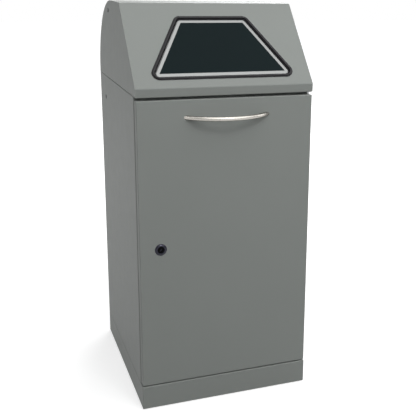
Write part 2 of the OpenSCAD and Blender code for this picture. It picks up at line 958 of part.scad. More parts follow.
module door_stiffener() {
    inner_y = front_y + sheet;
    crown_half = stiffener_w / 2;
    foot_half = crown_half + stiffener_foot;
    color(zinc) along_z(door_bottom + stiffener_end, door_top - stiffener_end) polygon(folded_outline(
        [
            [-foot_half, inner_y],
            [-crown_half, inner_y],
            [-crown_half, inner_y + stiffener_h],
            [crown_half, inner_y + stiffener_h],
            [crown_half, inner_y],
            [foot_half, inner_y]
        ],
        [fold, fold, fold, fold], sheet
    ));
}

module bow_handle() {
    bow_r = handle_out_r - handle_bar / 2;
    hole_in = handle_screw_in + 0.5;
    color(stainless) difference() {
        intersection() {
            translate([0, front_y + handle_out_r - handle_reach, handle_z])
                rotate_extrude($fn = 160) translate([bow_r, 0]) circle(d = handle_bar);
            block(
                [-handle_l, front_y - handle_reach - past, handle_z - handle_bar],
                [handle_l, front_y, handle_z + handle_bar]
            );
        }
        both_sides() translate([-handle_screw_x, front_y + past, handle_z]) rotate([90, 0, 0])
            cylinder(d = handle_screw_d + 2 * running_play, h = hole_in + past);
    }
}

module handle_screws() {
    head_h = 2.4;
    color(zinc) both_sides() translate([-handle_screw_x, front_y + sheet, handle_z]) {
        rotate([-90, 0, 0]) cylinder(d = 2 * handle_screw_d, h = head_h);
        rotate([90, 0, 0]) cylinder(d = handle_screw_d, h = sheet + handle_screw_in);
    }
}

module lock_housing() {
    edge = rosette_t / 2;
    bore_r = cylinder_d / 2 + running_play;
    color(plastic_black) at_lock() rotate_extrude() polygon([
        [bore_r, -rosette_t],
        [rosette_d / 2 - edge, -rosette_t],
        [rosette_d / 2 - edge * (1 - sin(45)), -rosette_t + edge * (1 - cos(45))],
        [rosette_d / 2, edge - rosette_t],
        [rosette_d / 2, 0],
        [barrel_d / 2, 0],
        [barrel_d / 2, barrel_end],
        [bore_r, barrel_end]
    ]);
}

module lock_nut() {
    color(zinc) at_lock() along_z(sheet, sheet + nut_t) difference() {
        circle(d = barrel_d * 1.4, $fn = 6);
        circle(r = barrel_d / 2 + running_play);
    }
}

cam_screw_d = 5;

module lock_cylinder() {
    face = rosette_t + cylinder_proud;
    thread_in = 10;
    color(plastic_black) at_lock() difference() {
        translate([0, 0, -face]) cylinder(d = cylinder_d, h = face + cam_front);
        rotate([0, 0, 45]) translate([-key_slot_l / 2, -key_slot_w / 2, -face - past])
            cube([key_slot_l, key_slot_w, key_slot_in + past]);
        translate([0, 0, cam_front - thread_in])
            cylinder(d = cam_screw_d + 2 * running_play, h = thread_in + past);
    }
}

module lock_cam() {
    color(zinc) at_lock() along_z(cam_front, cam_front + cam_t) difference() {
        union() {
            circle(d = cam_w);
            translate([-cam_w / 2, 0]) square([cam_w, cam_reach - cam_w / 4]);
            translate([-cam_w / 4, 0]) square([cam_w / 2, cam_reach]);
            for (x = [-cam_w / 4, cam_w / 4])
                translate([x, cam_reach - cam_w / 4]) circle(d = cam_w / 2);
        }
        circle(d = cam_screw_d + 2 * running_play);
    }
}

module cam_screw() {
    head_h = 3;
    grip = 9;
    color(zinc) at_lock() translate([0, 0, cam_front + cam_t]) {
        cylinder(d = 2 * cam_screw_d, h = head_h);
        translate([0, 0, -grip - cam_t + sheet_gap])
            cylinder(d = cam_screw_d, h = grip + cam_t - sheet_gap);
    }
}

module hinge_block(z) {
    right = door_half - sheet - bend_clear;
    color(plastic_black) difference() {
        block(
            [right - block_w, front_y + sheet + bend_clear, z],
            [right, front_y + door_depth - sheet - bend_clear, z + block_h]
        );
        translate([pin_x, pin_y, z - past])
            cylinder(r = pin_d / 2 + running_play, h = block_h + 2 * past);
    }
}

module lower_hinge_block() {
    hinge_block(door_bottom + sheet);
}

module upper_hinge_block() {
    hinge_block(door_top - sheet - block_h);
}

plinth();
plinth_glides();
floor_panel();
left_side_panel();
right_side_panel();
back_panel();
top_rail();
hood_shell();
hood_cheek_left();
hood_cheek_right();
hood_screws();
side_plugs();
opening_trim();
flap_hinge_brackets();
flap_hinge_rod();
rod_clips();
flap_springs();
bag_rails();
bag_frame();
bag_band();
lower_hinge_pin();
upper_hinge_pin();
thrust_washer();
door_bumpers();
door_panel();
door_stiffener();
bow_handle();
handle_screws();
lock_housing();
lock_nut();
lower_hinge_block();
upper_hinge_block();
lock_cylinder();
lock_cam();
cam_screw();
flap_plate();
flap_film();
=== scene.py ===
"""Recycling bin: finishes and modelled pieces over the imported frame. Metres, door towards -Y."""

import json
from math import acos, atan2, cos, pi, radians, sin, sqrt, tan

import bmesh
import bpy
from mathutils import Matrix, Vector


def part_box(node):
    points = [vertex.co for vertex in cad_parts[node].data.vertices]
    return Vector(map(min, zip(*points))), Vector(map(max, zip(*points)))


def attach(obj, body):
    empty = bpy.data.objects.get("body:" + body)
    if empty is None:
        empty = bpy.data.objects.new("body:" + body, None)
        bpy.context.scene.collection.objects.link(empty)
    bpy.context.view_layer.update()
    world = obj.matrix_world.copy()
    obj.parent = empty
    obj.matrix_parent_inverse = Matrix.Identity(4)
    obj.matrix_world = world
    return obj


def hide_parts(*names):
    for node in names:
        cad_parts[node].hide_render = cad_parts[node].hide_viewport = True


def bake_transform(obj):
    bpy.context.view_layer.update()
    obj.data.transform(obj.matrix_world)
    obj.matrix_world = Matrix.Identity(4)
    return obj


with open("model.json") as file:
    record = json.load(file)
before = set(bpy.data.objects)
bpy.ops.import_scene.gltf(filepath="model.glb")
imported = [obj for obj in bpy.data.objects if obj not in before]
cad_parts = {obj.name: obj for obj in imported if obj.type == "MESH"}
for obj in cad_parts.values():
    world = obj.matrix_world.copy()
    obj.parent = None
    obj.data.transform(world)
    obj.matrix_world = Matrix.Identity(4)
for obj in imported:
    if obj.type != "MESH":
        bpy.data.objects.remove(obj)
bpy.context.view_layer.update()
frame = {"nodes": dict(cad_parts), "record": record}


def mm(length):
    return length / 1000


# Camera: focal length and optical centre in pixels of the square picture, angles in radians
PICTURE = 416
FOCAL = 787.8
CENTRE_X = 285
CENTRE_Y = 180
CAMERA_AT = Vector((mm(-518.1), mm(-1809.4), mm(994.8)))
AZIMUTH = -0.3872
ELEVATION = 0.2649
ROLL = -0.0246
SENSOR_WIDTH = 36
NEAREST_SEEN = 0.05
FARTHEST_SEEN = 50

# Lamps: place, size and power, all turned to one point in the bin's middle
LAMP_AIM = Vector((0, 0, 0.5))
LAMPS = {
    "soft_front": ((0.6, -1.75, 2.65), 4.4, 97),
    "soft_spot": ((0.37, -1.84, 2.2), 0.5, 8),
    "soft_top": ((0, 0.5, 3.8), 3.2, 9),
    "soft_left": ((-2.6, -0.1, 0.6), 2.2, 3),
    "soft_back": ((1.8, 3.0, 2.4), 2.6, 90),
    "soft_right": ((2.7, -0.3, 1.9), 1.2, 13),
    "soft_end": ((-2.0, -0.4, 2.5), 0.8, 6.5),
}
ROOM_TINT = (0.97, 0.985, 1, 1)
ROOM_LIGHT = 0.2
FLOOR_HALF = 12
# The floor's glow rises between two distances from the middle
FLOOR_GLOW = (0.62, 1)
GLOW_RISES = (0.5, 2.5)
# The middle part of a noise's values
LINES_SPAN = (0.3, 0.7)

# Colours are linear
WHITE = (1, 1, 1, 1)
POWDER_GREY = (0.198, 0.211, 0.2, 1)
ZINC_GREY = (0.46, 0.468, 0.475, 1)
STEEL_GREY = (0.225, 0.23, 0.227, 1)
HANDLE_GREY = (0.37, 0.355, 0.325, 1)
PLUG_GREY = (0.13, 0.125, 0.135, 1)
RUBBER_BLACK = (0.0025, 0.002, 0.0035, 1)
PLASTIC_BLACK = (0.009, 0.0105, 0.015, 1)
FILM_BLACK = (0.0035, 0.0085, 0.0095, 1)
FACE_BLACK = (0.002, 0.002, 0.0025, 1)
RING_BLUE_BLACK = (0.004, 0.0045, 0.009, 1)
RING_TINT = (0.8, 0.8, 1, 1)
NYLON_WHITE = (0.7, 0.7, 0.66, 1)
FLOOR_BOUNCE = (0.35, 0.35, 0.35, 1)
FLOOR_SHOWN = (0.55, 0.55, 0.55, 1)

# Sheet metal
SHEET = mm(1.5)
FOLD = mm(2)
FOLD_STEPS = 6
WIDE_FOLD = mm(30)
WIDE_FOLD_STEPS = 60
CUT_EDGE = mm(0.25)
SHARP = radians(40)
PLAY = mm(0.05)
PAST = mm(1)
ALIGNED = 0.999

LEFT_TO_RIGHT = Matrix.Scale(-1, 4, (1, 0, 0))
UPRIGHT_TO_SIDE = Matrix.Rotation(pi / 2, 4, "Y")
UPRIGHT_TO_BACK = Matrix.Rotation(-pi / 2, 4, "X")
UPRIGHT_TO_FRONT = Matrix.Rotation(pi / 2, 4, "X")


def at(x, y, z):
    return Matrix.Translation((x, y, z))


def staged(name, data):
    """A new object of the scene, at the origin."""
    item = bpy.data.objects.new(name, data)
    bpy.context.collection.objects.link(item)
    return item


def shaped(name, bm, place=Matrix()):
    """Turns a bmesh into an object with its mesh moved to the place."""
    mesh = bpy.data.meshes.new(name)
    bmesh.ops.transform(bm, matrix=place, verts=bm.verts)
    bm.to_mesh(mesh)
    bm.free()
    mesh.shade_smooth()
    return staged(name, mesh)


def make_camera():
    data = bpy.data.cameras.new("camera")
    camera = staged("camera", data)
    data.sensor_width = SENSOR_WIDTH
    data.lens = FOCAL / PICTURE * SENSOR_WIDTH
    data.shift_x = (PICTURE / 2 - CENTRE_X) / PICTURE
    data.shift_y = (CENTRE_Y - PICTURE / 2) / PICTURE
    data.clip_start = NEAREST_SEEN
    data.clip_end = FARTHEST_SEEN
    back = Vector((
        sin(AZIMUTH) * cos(ELEVATION),
        -cos(AZIMUTH) * cos(ELEVATION),
        sin(ELEVATION),
    ))
    right = Vector((cos(AZIMUTH), sin(AZIMUTH), 0))
    up = back.cross(right)
    turned_right = right * cos(ROLL) - up * sin(ROLL)
    turned_up = right * sin(ROLL) + up * cos(ROLL)
    axes = Matrix((turned_right, turned_up, back)).transposed()
    camera.matrix_world = at(*CAMERA_AT) @ axes.to_4x4()
    bpy.context.scene.camera = camera


def make_lamps():
    for name, (place, size, power) in LAMPS.items():
        data = bpy.data.lights.new(name, "AREA")
        data.shape = "DISK"
        data.size = size
        data.energy = power
        lamp = staged(name, data)
        lamp.location = place
        lamp.visible_camera = False
        lamp.rotation_mode = "QUATERNION"
        lamp.rotation_quaternion = (LAMP_AIM - Vector(place)).to_track_quat("-Z", "Y")


def wired(tree, kind, inputs, **settings):
    """A new shader node: outputs given as its inputs are linked, other inputs are set."""
    node = tree.nodes.new(kind)
    for name, value in settings.items():
        setattr(node, name, value)
    for key, value in inputs.items():
        if isinstance(value, bpy.types.NodeSocket):
            tree.links.new(value, node.inputs[key])
        else:
            node.inputs[key].default_value = value
    return node


def shown_white(tree):
    """1 where the camera, gloss or glass sees the surroundings, and 0 for their light."""
    path = wired(tree, "ShaderNodeLightPath", {})
    seen = path.outputs["Is Camera Ray"]
    for way in ("Is Glossy Ray", "Is Transmission Ray"):
        either = {0: seen, 1: path.outputs[way]}
        seen = wired(tree, "ShaderNodeMath", either, operation="MAXIMUM").outputs[0]
    return seen


def make_world():
    """Weak even light from a room that is seen as white."""
    world = bpy.data.worlds.new("studio")
    bpy.context.scene.world = world
    world.use_nodes = True
    tree = world.node_tree
    tree.nodes.clear()
    parts = {"Fac": shown_white(tree)}
    for socket, colour, strength in ((1, ROOM_TINT, ROOM_LIGHT), (2, WHITE, 1)):
        light = wired(tree, "ShaderNodeBackground", {"Color": colour, "Strength": strength})
        parts[socket] = light.outputs[0]
    mix = wired(tree, "ShaderNodeMixShader", parts)
    wired(tree, "ShaderNodeOutputWorld", {"Surface": mix.outputs[0]})


class Finish:
    """A material whose patterns read Object coordinates."""

    def __init__(self, name, colour, roughness, metallic=0, specular=0.5):
        self.material = bpy.data.materials.new(name)
        self.material.use_nodes = True
        self.tree = self.material.node_tree
        self.surface = self.tree.nodes["Principled BSDF"]
        for key, value in (
            ("Base Color", colour),
            ("Roughness", roughness),
            ("Metallic", metallic),
            ("Specular IOR Level", specular),
        ):
            self.surface.inputs[key].default_value = value
        self.place = self.tree.nodes.new("ShaderNodeTexCoord").outputs["Object"]

    def stretched(self, scale):
        """The place with each axis scaled by its own factor."""
        inputs = {"Vector": self.place, "Scale": scale}
        return wired(self.tree, "ShaderNodeMapping", inputs).outputs["Vector"]

    def noise(self, per_metre, detail=2, along=None):
        inputs = {"Vector": along or self.place, "Scale": per_metre, "Detail": detail}
        return wired(self.tree, "ShaderNodeTexNoise", inputs).outputs["Fac"]

    def spangle(self, per_metre):
        """Flat crystals, each with its own value."""
        inputs = {"Vector": self.place, "Scale": per_metre}
        crystals = wired(self.tree, "ShaderNodeTexVoronoi", inputs).outputs["Color"]
        return wired(self.tree, "ShaderNodeSeparateColor", {0: crystals}).outputs[0]

    def between(self, value, low, high, from_low=0, from_high=1):
        inputs = {
            "Value": value,
            "From Min": from_low,
            "From Max": from_high,
            "To Min": low,
            "To Max": high,
        }
        return wired(self.tree, "ShaderNodeMapRange", inputs).outputs["Result"]

    def product(self, first, second):
        inputs = {0: first, 1: second}
        return wired(self.tree, "ShaderNodeMath", inputs, operation="MULTIPLY").outputs[0]

    def feed(self, name, value):
        """Links a pattern to an input of the surface."""
        self.tree.links.new(value, self.surface.inputs[name])

    def shade(self, first, *others):
        """Multiplies the colour by patterns around 1."""
        total = first
        for other in others:
            total = self.product(total, other)
        colour = tuple(self.surface.inputs["Base Color"].default_value)[:3]
        inputs = {0: colour, "Scale": total}
        scaled = wired(self.tree, "ShaderNodeVectorMath", inputs, operation="SCALE")
        self.feed("Base Color", scaled.outputs["Vector"])

    def relief(self, *heights):
        """Stacks bumps: pairs of a pattern and its depth in metres."""
        inputs = {"Strength": 1}
        for height, depth in heights:
            inputs.update({"Height": height, "Distance": depth})
            inputs["Normal"] = wired(self.tree, "ShaderNodeBump", inputs).outputs["Normal"]
        self.feed("Normal", inputs["Normal"])


def make_floor():
    """A pale floor with the object's shadow, which fades to white further out."""
    bm = bmesh.new()
    bmesh.ops.create_grid(bm, x_segments=1, y_segments=1, size=FLOOR_HALF)
    floor = shaped("floor", bm)
    pale = Finish("pale_floor", FLOOR_BOUNCE, roughness=0.9, specular=0.1)
    white = shown_white(pale.tree)
    tones = {"Factor": white, "A": FLOOR_BOUNCE, "B": FLOOR_SHOWN}
    tone = wired(pale.tree, "ShaderNodeMix", tones, data_type="RGBA")
    pale.feed("Base Color", tone.outputs["Result"])
    away = wired(pale.tree, "ShaderNodeVectorMath", {0: pale.place}, operation="LENGTH")
    glow = pale.between(away.outputs["Value"], *FLOOR_GLOW, *GLOW_RISES)
    pale.surface.inputs["Emission Color"].default_value = WHITE
    pale.feed("Emission Strength", pale.product(glow, white))
    floor.data.materials.append(pale.material)


make_camera()
make_lamps()
make_world()
make_floor()


def powder_coat():
    """Grey powder paint with a fine grain and faint clouds."""
    coat = Finish("powder_coat", POWDER_GREY, roughness=0.5, specular=0.2)
    clouds = coat.noise(per_metre=7)
    grains = coat.noise(per_metre=1300)
    ripples = coat.noise(per_metre=420, detail=1)
    coat.shade(coat.between(clouds, 0.975, 1.025), coat.between(grains, 0.96, 1.04))
    coat.feed("Roughness", coat.between(coat.noise(per_metre=35, detail=3), 0.46, 0.55))
    coat.relief((ripples, mm(0.03)), (grains, mm(0.02)))
    return coat.material


def zinc_plate():
    """Zinc-plated steel with crystals and dull patches."""
    zinc = Finish("zinc_steel", ZINC_GREY, roughness=0.35, metallic=1)
    crystals = zinc.spangle(per_metre=110)
    patches = zinc.noise(per_metre=25, detail=3)
    zinc.shade(zinc.between(crystals, 0.9, 1.05), zinc.between(patches, 0.93, 1.05))
    zinc.feed("Roughness", zinc.between(zinc.noise(per_metre=60, detail=4), 0.26, 0.44))
    zinc.relief((zinc.noise(per_metre=900, detail=3), mm(0.01)))
    return zinc.material


def brushed(name, colour, roughness, metallic, stretch, detail, tone, gloss, depth):
    """Steel with fine lines from side to side. The stretch is what scales each axis."""
    steel = Finish(name, colour, roughness, metallic)
    lines = steel.noise(1, detail, steel.stretched(stretch))
    steel.shade(steel.between(lines, *tone, *LINES_SPAN))
    steel.feed("Roughness", steel.between(lines, *gloss, *LINES_SPAN))
    steel.relief((lines, depth))
    return steel.material


def plain(name, colour, roughness, tone, gloss, grain=None, specular=0.5, tint=WHITE):
    """A finish from one noise each. Tone and gloss are its number per metre, its detail and
    the two values that it lies between. The grain ends with its depth."""
    finish = Finish(name, colour, roughness, specular=specular)
    finish.surface.inputs["Specular Tint"].default_value = tint
    finish.shade(finish.between(finish.noise(*tone[:2]), *tone[2:]))
    finish.feed("Roughness", finish.between(finish.noise(*gloss[:2]), *gloss[2:]))
    if grain:
        finish.relief((finish.noise(*grain[:2]), grain[2]))
    return finish.material


FINISHES = {
    "powder_coat": powder_coat(),
    "zinc_steel": zinc_plate(),
    "satin_steel": brushed(
        "brushed_steel",
        STEEL_GREY,
        roughness=0.45,
        metallic=0.6,
        stretch=(14, 900, 900),
        detail=4,
        tone=(0.93, 1.06),
        gloss=(0.36, 0.5),
        depth=mm(0.02),
    ),
    "black_rubber": plain(
        "black_rubber",
        RUBBER_BLACK,
        roughness=0.2,
        tone=(60, 3, 0.8, 1.25),
        gloss=(240, 2, 0.16, 0.24),
        grain=(1500, 2, mm(0.03)),
        specular=0.24,
    ),
    "black_plastic": plain(
        "black_plastic",
        PLASTIC_BLACK,
        roughness=0.25,
        tone=(120, 2, 0.85, 1.15),
        gloss=(300, 2, 0.2, 0.3),
        grain=(2200, 1, mm(0.01)),
        specular=0.3,
    ),
    "dark_film": plain(
        "dark_film",
        FILM_BLACK,
        roughness=0.42,
        tone=(9, 2, 0.92, 1.08),
        gloss=(400, 2, 0.38, 0.46),
        grain=(2600, 1, mm(0.006)),
        specular=0.04,
    ),
    "nylon": plain(
        "nylon", NYLON_WHITE, roughness=0.45, tone=(200, 2, 0.94, 1.03), gloss=(500, 2, 0.4, 0.5)
    ),
}
SATIN_BAR = brushed(
    "satin_bar",
    HANDLE_GREY,
    roughness=0.26,
    metallic=1,
    stretch=(30, 700, 700),
    detail=3,
    tone=(0.97, 1.03),
    gloss=(0.23, 0.29),
    depth=mm(0.001),
)
LOCK_RING = plain(
    "lock_ring",
    RING_BLUE_BLACK,
    roughness=0.22,
    tone=(120, 2, 0.85, 1.15),
    gloss=(300, 2, 0.1, 0.16),
    specular=0.34,
    tint=RING_TINT,
)
LOCK_FACE = plain(
    "lock_face",
    FACE_BLACK,
    roughness=0.4,
    tone=(150, 2, 0.8, 1.2),
    gloss=(400, 2, 0.34, 0.46),
    specular=0.03,
)
PLUG_PLASTIC = plain(
    "grey_plastic",
    PLUG_GREY,
    roughness=0.45,
    tone=(150, 2, 0.9, 1.1),
    gloss=(400, 2, 0.4, 0.5),
    specular=0.2,
)


def finish_nodes():
    """Every node of the frame takes the finish of its slot in the record."""
    for row in frame["record"]["subparts"]:
        node = frame["nodes"][row["node"]]
        for place in node.material_slots:
            place.material = FINISHES[row["material_slot"]]


finish_nodes()


def settled(piece):
    """Makes what the modifiers give the piece's own mesh."""
    final = piece.evaluated_get(bpy.context.evaluated_depsgraph_get())
    rough = piece.data
    piece.data = bpy.data.meshes.new_from_object(final)
    piece.modifiers.clear()
    bpy.data.meshes.remove(rough)
    return piece


def walled(piece, thickness=SHEET):
    """Gives an outer skin its sheet thickness, inwards."""
    wall = piece.modifiers.new("wall", "SOLIDIFY")
    wall.thickness = thickness
    wall.offset = -1
    wall.use_even_offset = True
    return settled(piece)


def cut(piece, *tools):
    """Cuts tools out of the piece and throws them away."""
    for tool in tools:
        knife = piece.modifiers.new("cut", "BOOLEAN")
        knife.operation = "DIFFERENCE"
        knife.solver = "EXACT"
        knife.object = tool
    settled(piece)
    for tool in tools:
        bpy.data.objects.remove(tool)
    return piece


def fitted(piece, body, slot, *nodes, edge=CUT_EDGE, finish=None):
    """Breaks the sharp edges with flat faces kept flat in the light, puts the piece on its body
    with its finish, and hides the nodes that it stands for."""
    if edge:
        edges = piece.modifiers.new("eased_edges", "BEVEL")
        edges.width = edge
        edges.segments = 2
        edges.limit_method = "ANGLE"
        edges.angle_limit = SHARP
        piece.modifiers.new("even_light", "WEIGHTED_NORMAL")
    piece.data.materials.clear()
    piece.data.materials.append(finish or FINISHES[slot])
    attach(piece, body)
    if nodes:
        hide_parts(*nodes)
    return piece


def repeated(piece, *places):
    """One mesh with the piece's shape at each place."""
    bm = bmesh.new()
    for place in places:
        copy = piece.data.copy()
        copy.transform(place)
        if place.determinant() < 0:
            copy.flip_normals()
        bm.from_mesh(copy)
        bpy.data.meshes.remove(copy)
    bm.to_mesh(piece.data)
    bm.free()
    return piece


def joined(piece, *others):
    """Adds the others' meshes to the piece."""
    bm = bmesh.new()
    bm.from_mesh(piece.data)
    for other in others:
        bm.from_mesh(other.data)
        bpy.data.objects.remove(other)
    bm.to_mesh(piece.data)
    bm.free()
    return piece


def flipped(piece, name):
    """A mirror copy on the right-hand side."""
    return repeated(staged(name, piece.data.copy()), LEFT_TO_RIGHT)


def verts_of(made):
    return [item for item in made if isinstance(item, bmesh.types.BMVert)]


def edges_of(made):
    return [item for item in made if isinstance(item, bmesh.types.BMEdge)]


def largest_face(faces):
    return max(faces, key=lambda face: face.calc_area())


def face_towards(bm, face, way):
    """Turns all faces alike, so that the given one looks that way."""
    bmesh.ops.recalc_face_normals(bm, faces=bm.faces)
    bm.normal_update()
    if face.normal.dot(Vector(way)) < 0:
        bmesh.ops.reverse_faces(bm, faces=bm.faces)


def steps_of(radius):
    """How many flats a fold of this radius gets."""
    return WIDE_FOLD_STEPS if radius > WIDE_FOLD else FOLD_STEPS


def rounded(bm, geom, radius, steps=FOLD_STEPS, affect="EDGES"):
    bmesh.ops.bevel(
        bm,
        geom=geom,
        offset=radius,
        offset_type="OFFSET",
        segments=steps,
        profile=0.5,
        affect=affect,
        material=-1,
    )


def closed_up(bm):
    """Fills every open end and turns all faces outwards."""
    bmesh.ops.holes_fill(bm, edges=[edge for edge in bm.edges if edge.is_boundary], sides=0)
    bmesh.ops.recalc_face_normals(bm, faces=bm.faces)


def chain(bm, points, closed=False):
    """Vertices at the points, with an edge from each to the next."""
    verts = [bm.verts.new(point) for point in points]
    edges = [bm.edges.new(pair) for pair in zip(verts, verts[1:])]
    if closed:
        edges.append(bm.edges.new((verts[-1], verts[0])))
    return verts, edges


def moved_on(bm, edges, vec):
    """Extrudes a section's edges by a vector and returns the new verts and edges."""
    made = bmesh.ops.extrude_edge_only(bm, edges=edges)["geom"]
    verts = verts_of(made)
    new = set(verts)
    bmesh.ops.translate(bm, vec=vec, verts=verts)
    return verts, [edge for edge in edges_of(made) if new.issuperset(edge.verts)]


def spun(bm, section, angle, steps, centre=(0, 0, 0), axis=(0, 0, 1), **more):
    """Turns a section about an axis and returns the edges of its last place."""
    made = bmesh.ops.spin(
        bm, geom=section, cent=centre, axis=axis, angle=angle, steps=steps, **more
    )
    return edges_of(made["geom_last"])


def cuboid(low, high):
    bm = bmesh.new()
    bmesh.ops.create_cube(bm, size=1)
    bmesh.ops.scale(bm, vec=high - low, verts=bm.verts)
    bmesh.ops.translate(bm, vec=(high + low) / 2, verts=bm.verts)
    return bm


def block(low, high, name="block"):
    return shaped(name, cuboid(Vector(low), Vector(high)))


def slab(outline, vec):
    """A flat outline made solid along a vector."""
    bm = bmesh.new()
    face = bm.faces.new([bm.verts.new(point) for point in outline])
    made = bmesh.ops.extrude_face_region(bm, geom=[face])["geom"]
    bmesh.ops.translate(bm, vec=vec, verts=verts_of(made))
    bmesh.ops.recalc_face_normals(bm, faces=bm.faces)
    return bm


def rod(start, end, radius, sides=48):
    """A round tool between two points."""
    start = Vector(start)
    end = Vector(end)
    turn = (end - start).to_track_quat("Z", "Y").to_matrix().to_4x4()
    bm = bmesh.new()
    bmesh.ops.create_cone(
        bm,
        cap_ends=True,
        segments=sides,
        radius1=radius,
        radius2=radius,
        depth=(end - start).length,
        matrix=at(*(start + end) / 2) @ turn,
    )
    return shaped("rod", bm)


def turned(name, profile, closed=False, steps=40):
    """Turns a profile of radius and height about +Z."""
    bm = bmesh.new()
    verts, edges = chain(bm, [(radius, 0, height) for radius, height in profile], closed)
    spun(bm, verts + edges, 2 * pi, steps, use_merge=True)
    bmesh.ops.remove_doubles(bm, verts=bm.verts, dist=mm(0.001))
    bmesh.ops.recalc_face_normals(bm, faces=bm.faces)
    return shaped(name, bm)


def arc(centre, radius, start, end, steps, squash=1):
    """Points on an arc with its angles in degrees, its height scaled by the squash."""
    angles = [radians(start + (end - start) * i / steps) for i in range(steps + 1)]
    return [
        (centre[0] + radius * cos(angle), centre[1] + radius * squash * sin(angle))
        for angle in angles
    ]


def rectangle(half_x, half_y):
    """Corners round the origin, anticlockwise."""
    return ((-half_x, -half_y), (half_x, -half_y), (half_x, half_y), (-half_x, half_y))


def bend_at(path, i):
    """Angle by which a flat path turns at a corner, to the left above 0."""
    ahead = Vector(path[i + 1]) - Vector(path[i])
    behind = Vector(path[i]) - Vector(path[i - 1])
    return -behind.angle_signed(ahead)


def inset_path(path, distance):
    """The path's corners moved to its left; its ends slide along with them."""
    sides = [(Vector(b) - Vector(a)).normalized() for a, b in zip(path, path[1:])]
    lefts = [Vector((-side.y, side.x)) for side in sides]
    moved = [Vector(path[0]) + lefts[0] * distance]
    for i in range(1, len(path) - 1):
        both = (lefts[i - 1] + lefts[i]) / (1 + lefts[i - 1].dot(lefts[i]))
        moved.append(Vector(path[i]) + both * distance)
    moved.append(Vector(path[-1]) + lefts[-1] * distance)
    return [tuple(point) for point in moved]


SECTION_AT = {
    "X": lambda along, a, b: Vector((along, a, b)),
    "Y": lambda along, a, b: Vector((a, along, b)),
    "Z": lambda along, a, b: Vector((a, b, along)),
}


def strip(name, path, radii, axis, start, end):
    """A folded sheet. The path is its outer face in section, with the sheet on its left."""
    place = SECTION_AT[axis]
    bm = bmesh.new()
    verts, edges = chain(bm, [place(start, *point) for point in path])
    moved_on(bm, edges, place(end - start, 0, 0))
    side = Vector(path[1]) - Vector(path[0])
    face_towards(bm, verts[0].link_faces[0], place(0, side.y, -side.x))
    folds = []
    for i, radius in enumerate(radii, 1):
        angle = bend_at(path, i)
        fold = next(edge for edge in verts[i].link_edges if len(edge.link_faces) == 2)
        folds.append((fold, radius if angle > 0 else radius - SHEET, abs(angle)))
    for fold, radius, angle in folds:
        rounded(bm, [fold], radius * tan(angle / 2), steps_of(radius))
    return walled(shaped(name, bm))


def pan(name, low, high, openings, flange):
    """A box of folded sheet, open inside a flange on the named sides."""
    bm = cuboid(low, high)
    rounded(bm, list(bm.edges), FOLD)
    for opening in openings:
        bm.normal_update()
        cover = largest_face(
            face for face in bm.faces if face.normal.dot(Vector(opening)) > ALIGNED
        )
        bmesh.ops.inset_region(
            bm,
            faces=[cover],
            thickness=flange - FOLD,
            depth=0,
            use_boundary=True,
            use_even_offset=True,
        )
        bmesh.ops.delete(bm, geom=[cover], context="FACES")
    return walled(shaped(name, bm))


def swept(corners, section, closed=True, steps=10):
    """Carries a section round a flat polygon. The section gives the distance out of the
    polygon and the height over it, and the corners run anticlockwise."""
    points = [Vector((x, y, 0)) for x, y in corners]
    side = (points[1] - points[0]).normalized()
    outwards = Vector((side.y, -side.x, 0))
    start = [
        points[0] + outwards * distance + Vector((0, 0, height)) for distance, height in section
    ]
    bm = bmesh.new()
    verts, edges = chain(bm, start, closed)
    for i, here in enumerate(points):
        ahead = points[(i + 1) % len(points)]
        after = points[(i + 2) % len(points)]
        verts, edges = moved_on(bm, edges, ahead - here)
        angle = (ahead - here).angle(after - ahead)
        edges = spun(bm, verts + edges, angle, steps, centre=ahead)
    bmesh.ops.remove_doubles(bm, verts=bm.verts, dist=mm(0.002))
    bmesh.ops.recalc_face_normals(bm, faces=bm.faces)
    return bm


def ribbed(bm, corners, pitch, valley):
    """Lowers every third of fine steps across the raised part of a swept section to a share
    of its height, along the straight sides."""
    points = [Vector((x, y, 0)) for x, y in corners]
    for here, ahead in zip(points, points[1:] + points[:1]):
        side = ahead - here
        way = side.normalized()
        lines = []
        for edge in bm.edges:
            span = edge.verts[1].co - edge.verts[0].co
            as_long = abs(span.length - side.length) < mm(0.01)
            if as_long and abs(span.dot(way)) > span.length * ALIGNED:
                lines.append(edge)
        steps = 3 * round(side.length / pitch)
        made = bmesh.ops.subdivide_edges(bm, edges=lines, cuts=steps - 1, use_grid_fill=True)
        for vert in verts_of(made["geom_inner"]):
            step = round((vert.co - here).dot(way) / side.length * steps)
            if vert.co.z > 0 and step % 3 == 2:
                vert.co.z *= valley
    return bm


# Outer shape of the cabinet, read from the frame
hood_low, hood_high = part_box("hood_shell")
door_low, door_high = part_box("door_panel")
plinth_low, plinth_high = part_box("plinth")
half_width = hood_high.x
front = hood_low.y
back = hood_high.y
body_top = hood_low.z
top = hood_high.z

# Hood
LIP = mm(19.5)
LIP_LEAN = mm(1.5)
SLOPE_RUN = mm(154)
HOOD_FOLD = mm(4.5)
HOOD_SKIRT = mm(4)
HOOD_RETURN = mm(40)
CHEEK_FLANGE = mm(20)
CHEEK_FOLD = mm(3.5)
CHEEK_EDGE = mm(0.1)
JOINT_PLAY = mm(0.3)
slope_top = front + SLOPE_RUN
lip_top = body_top + LIP
slope_angle = atan2(top - lip_top, SLOPE_RUN)
AT_SLOPE = at(0, slope_top, top) @ Matrix.Rotation(slope_angle, 4, "X")
HOOD_PROFILE = [
    (back, body_top),
    (back, top),
    (slope_top, top),
    (front, lip_top),
    (front + LIP_LEAN, body_top),
]
HOOD_RADII = [top - body_top - HOOD_SKIRT, HOOD_FOLD, HOOD_FOLD]

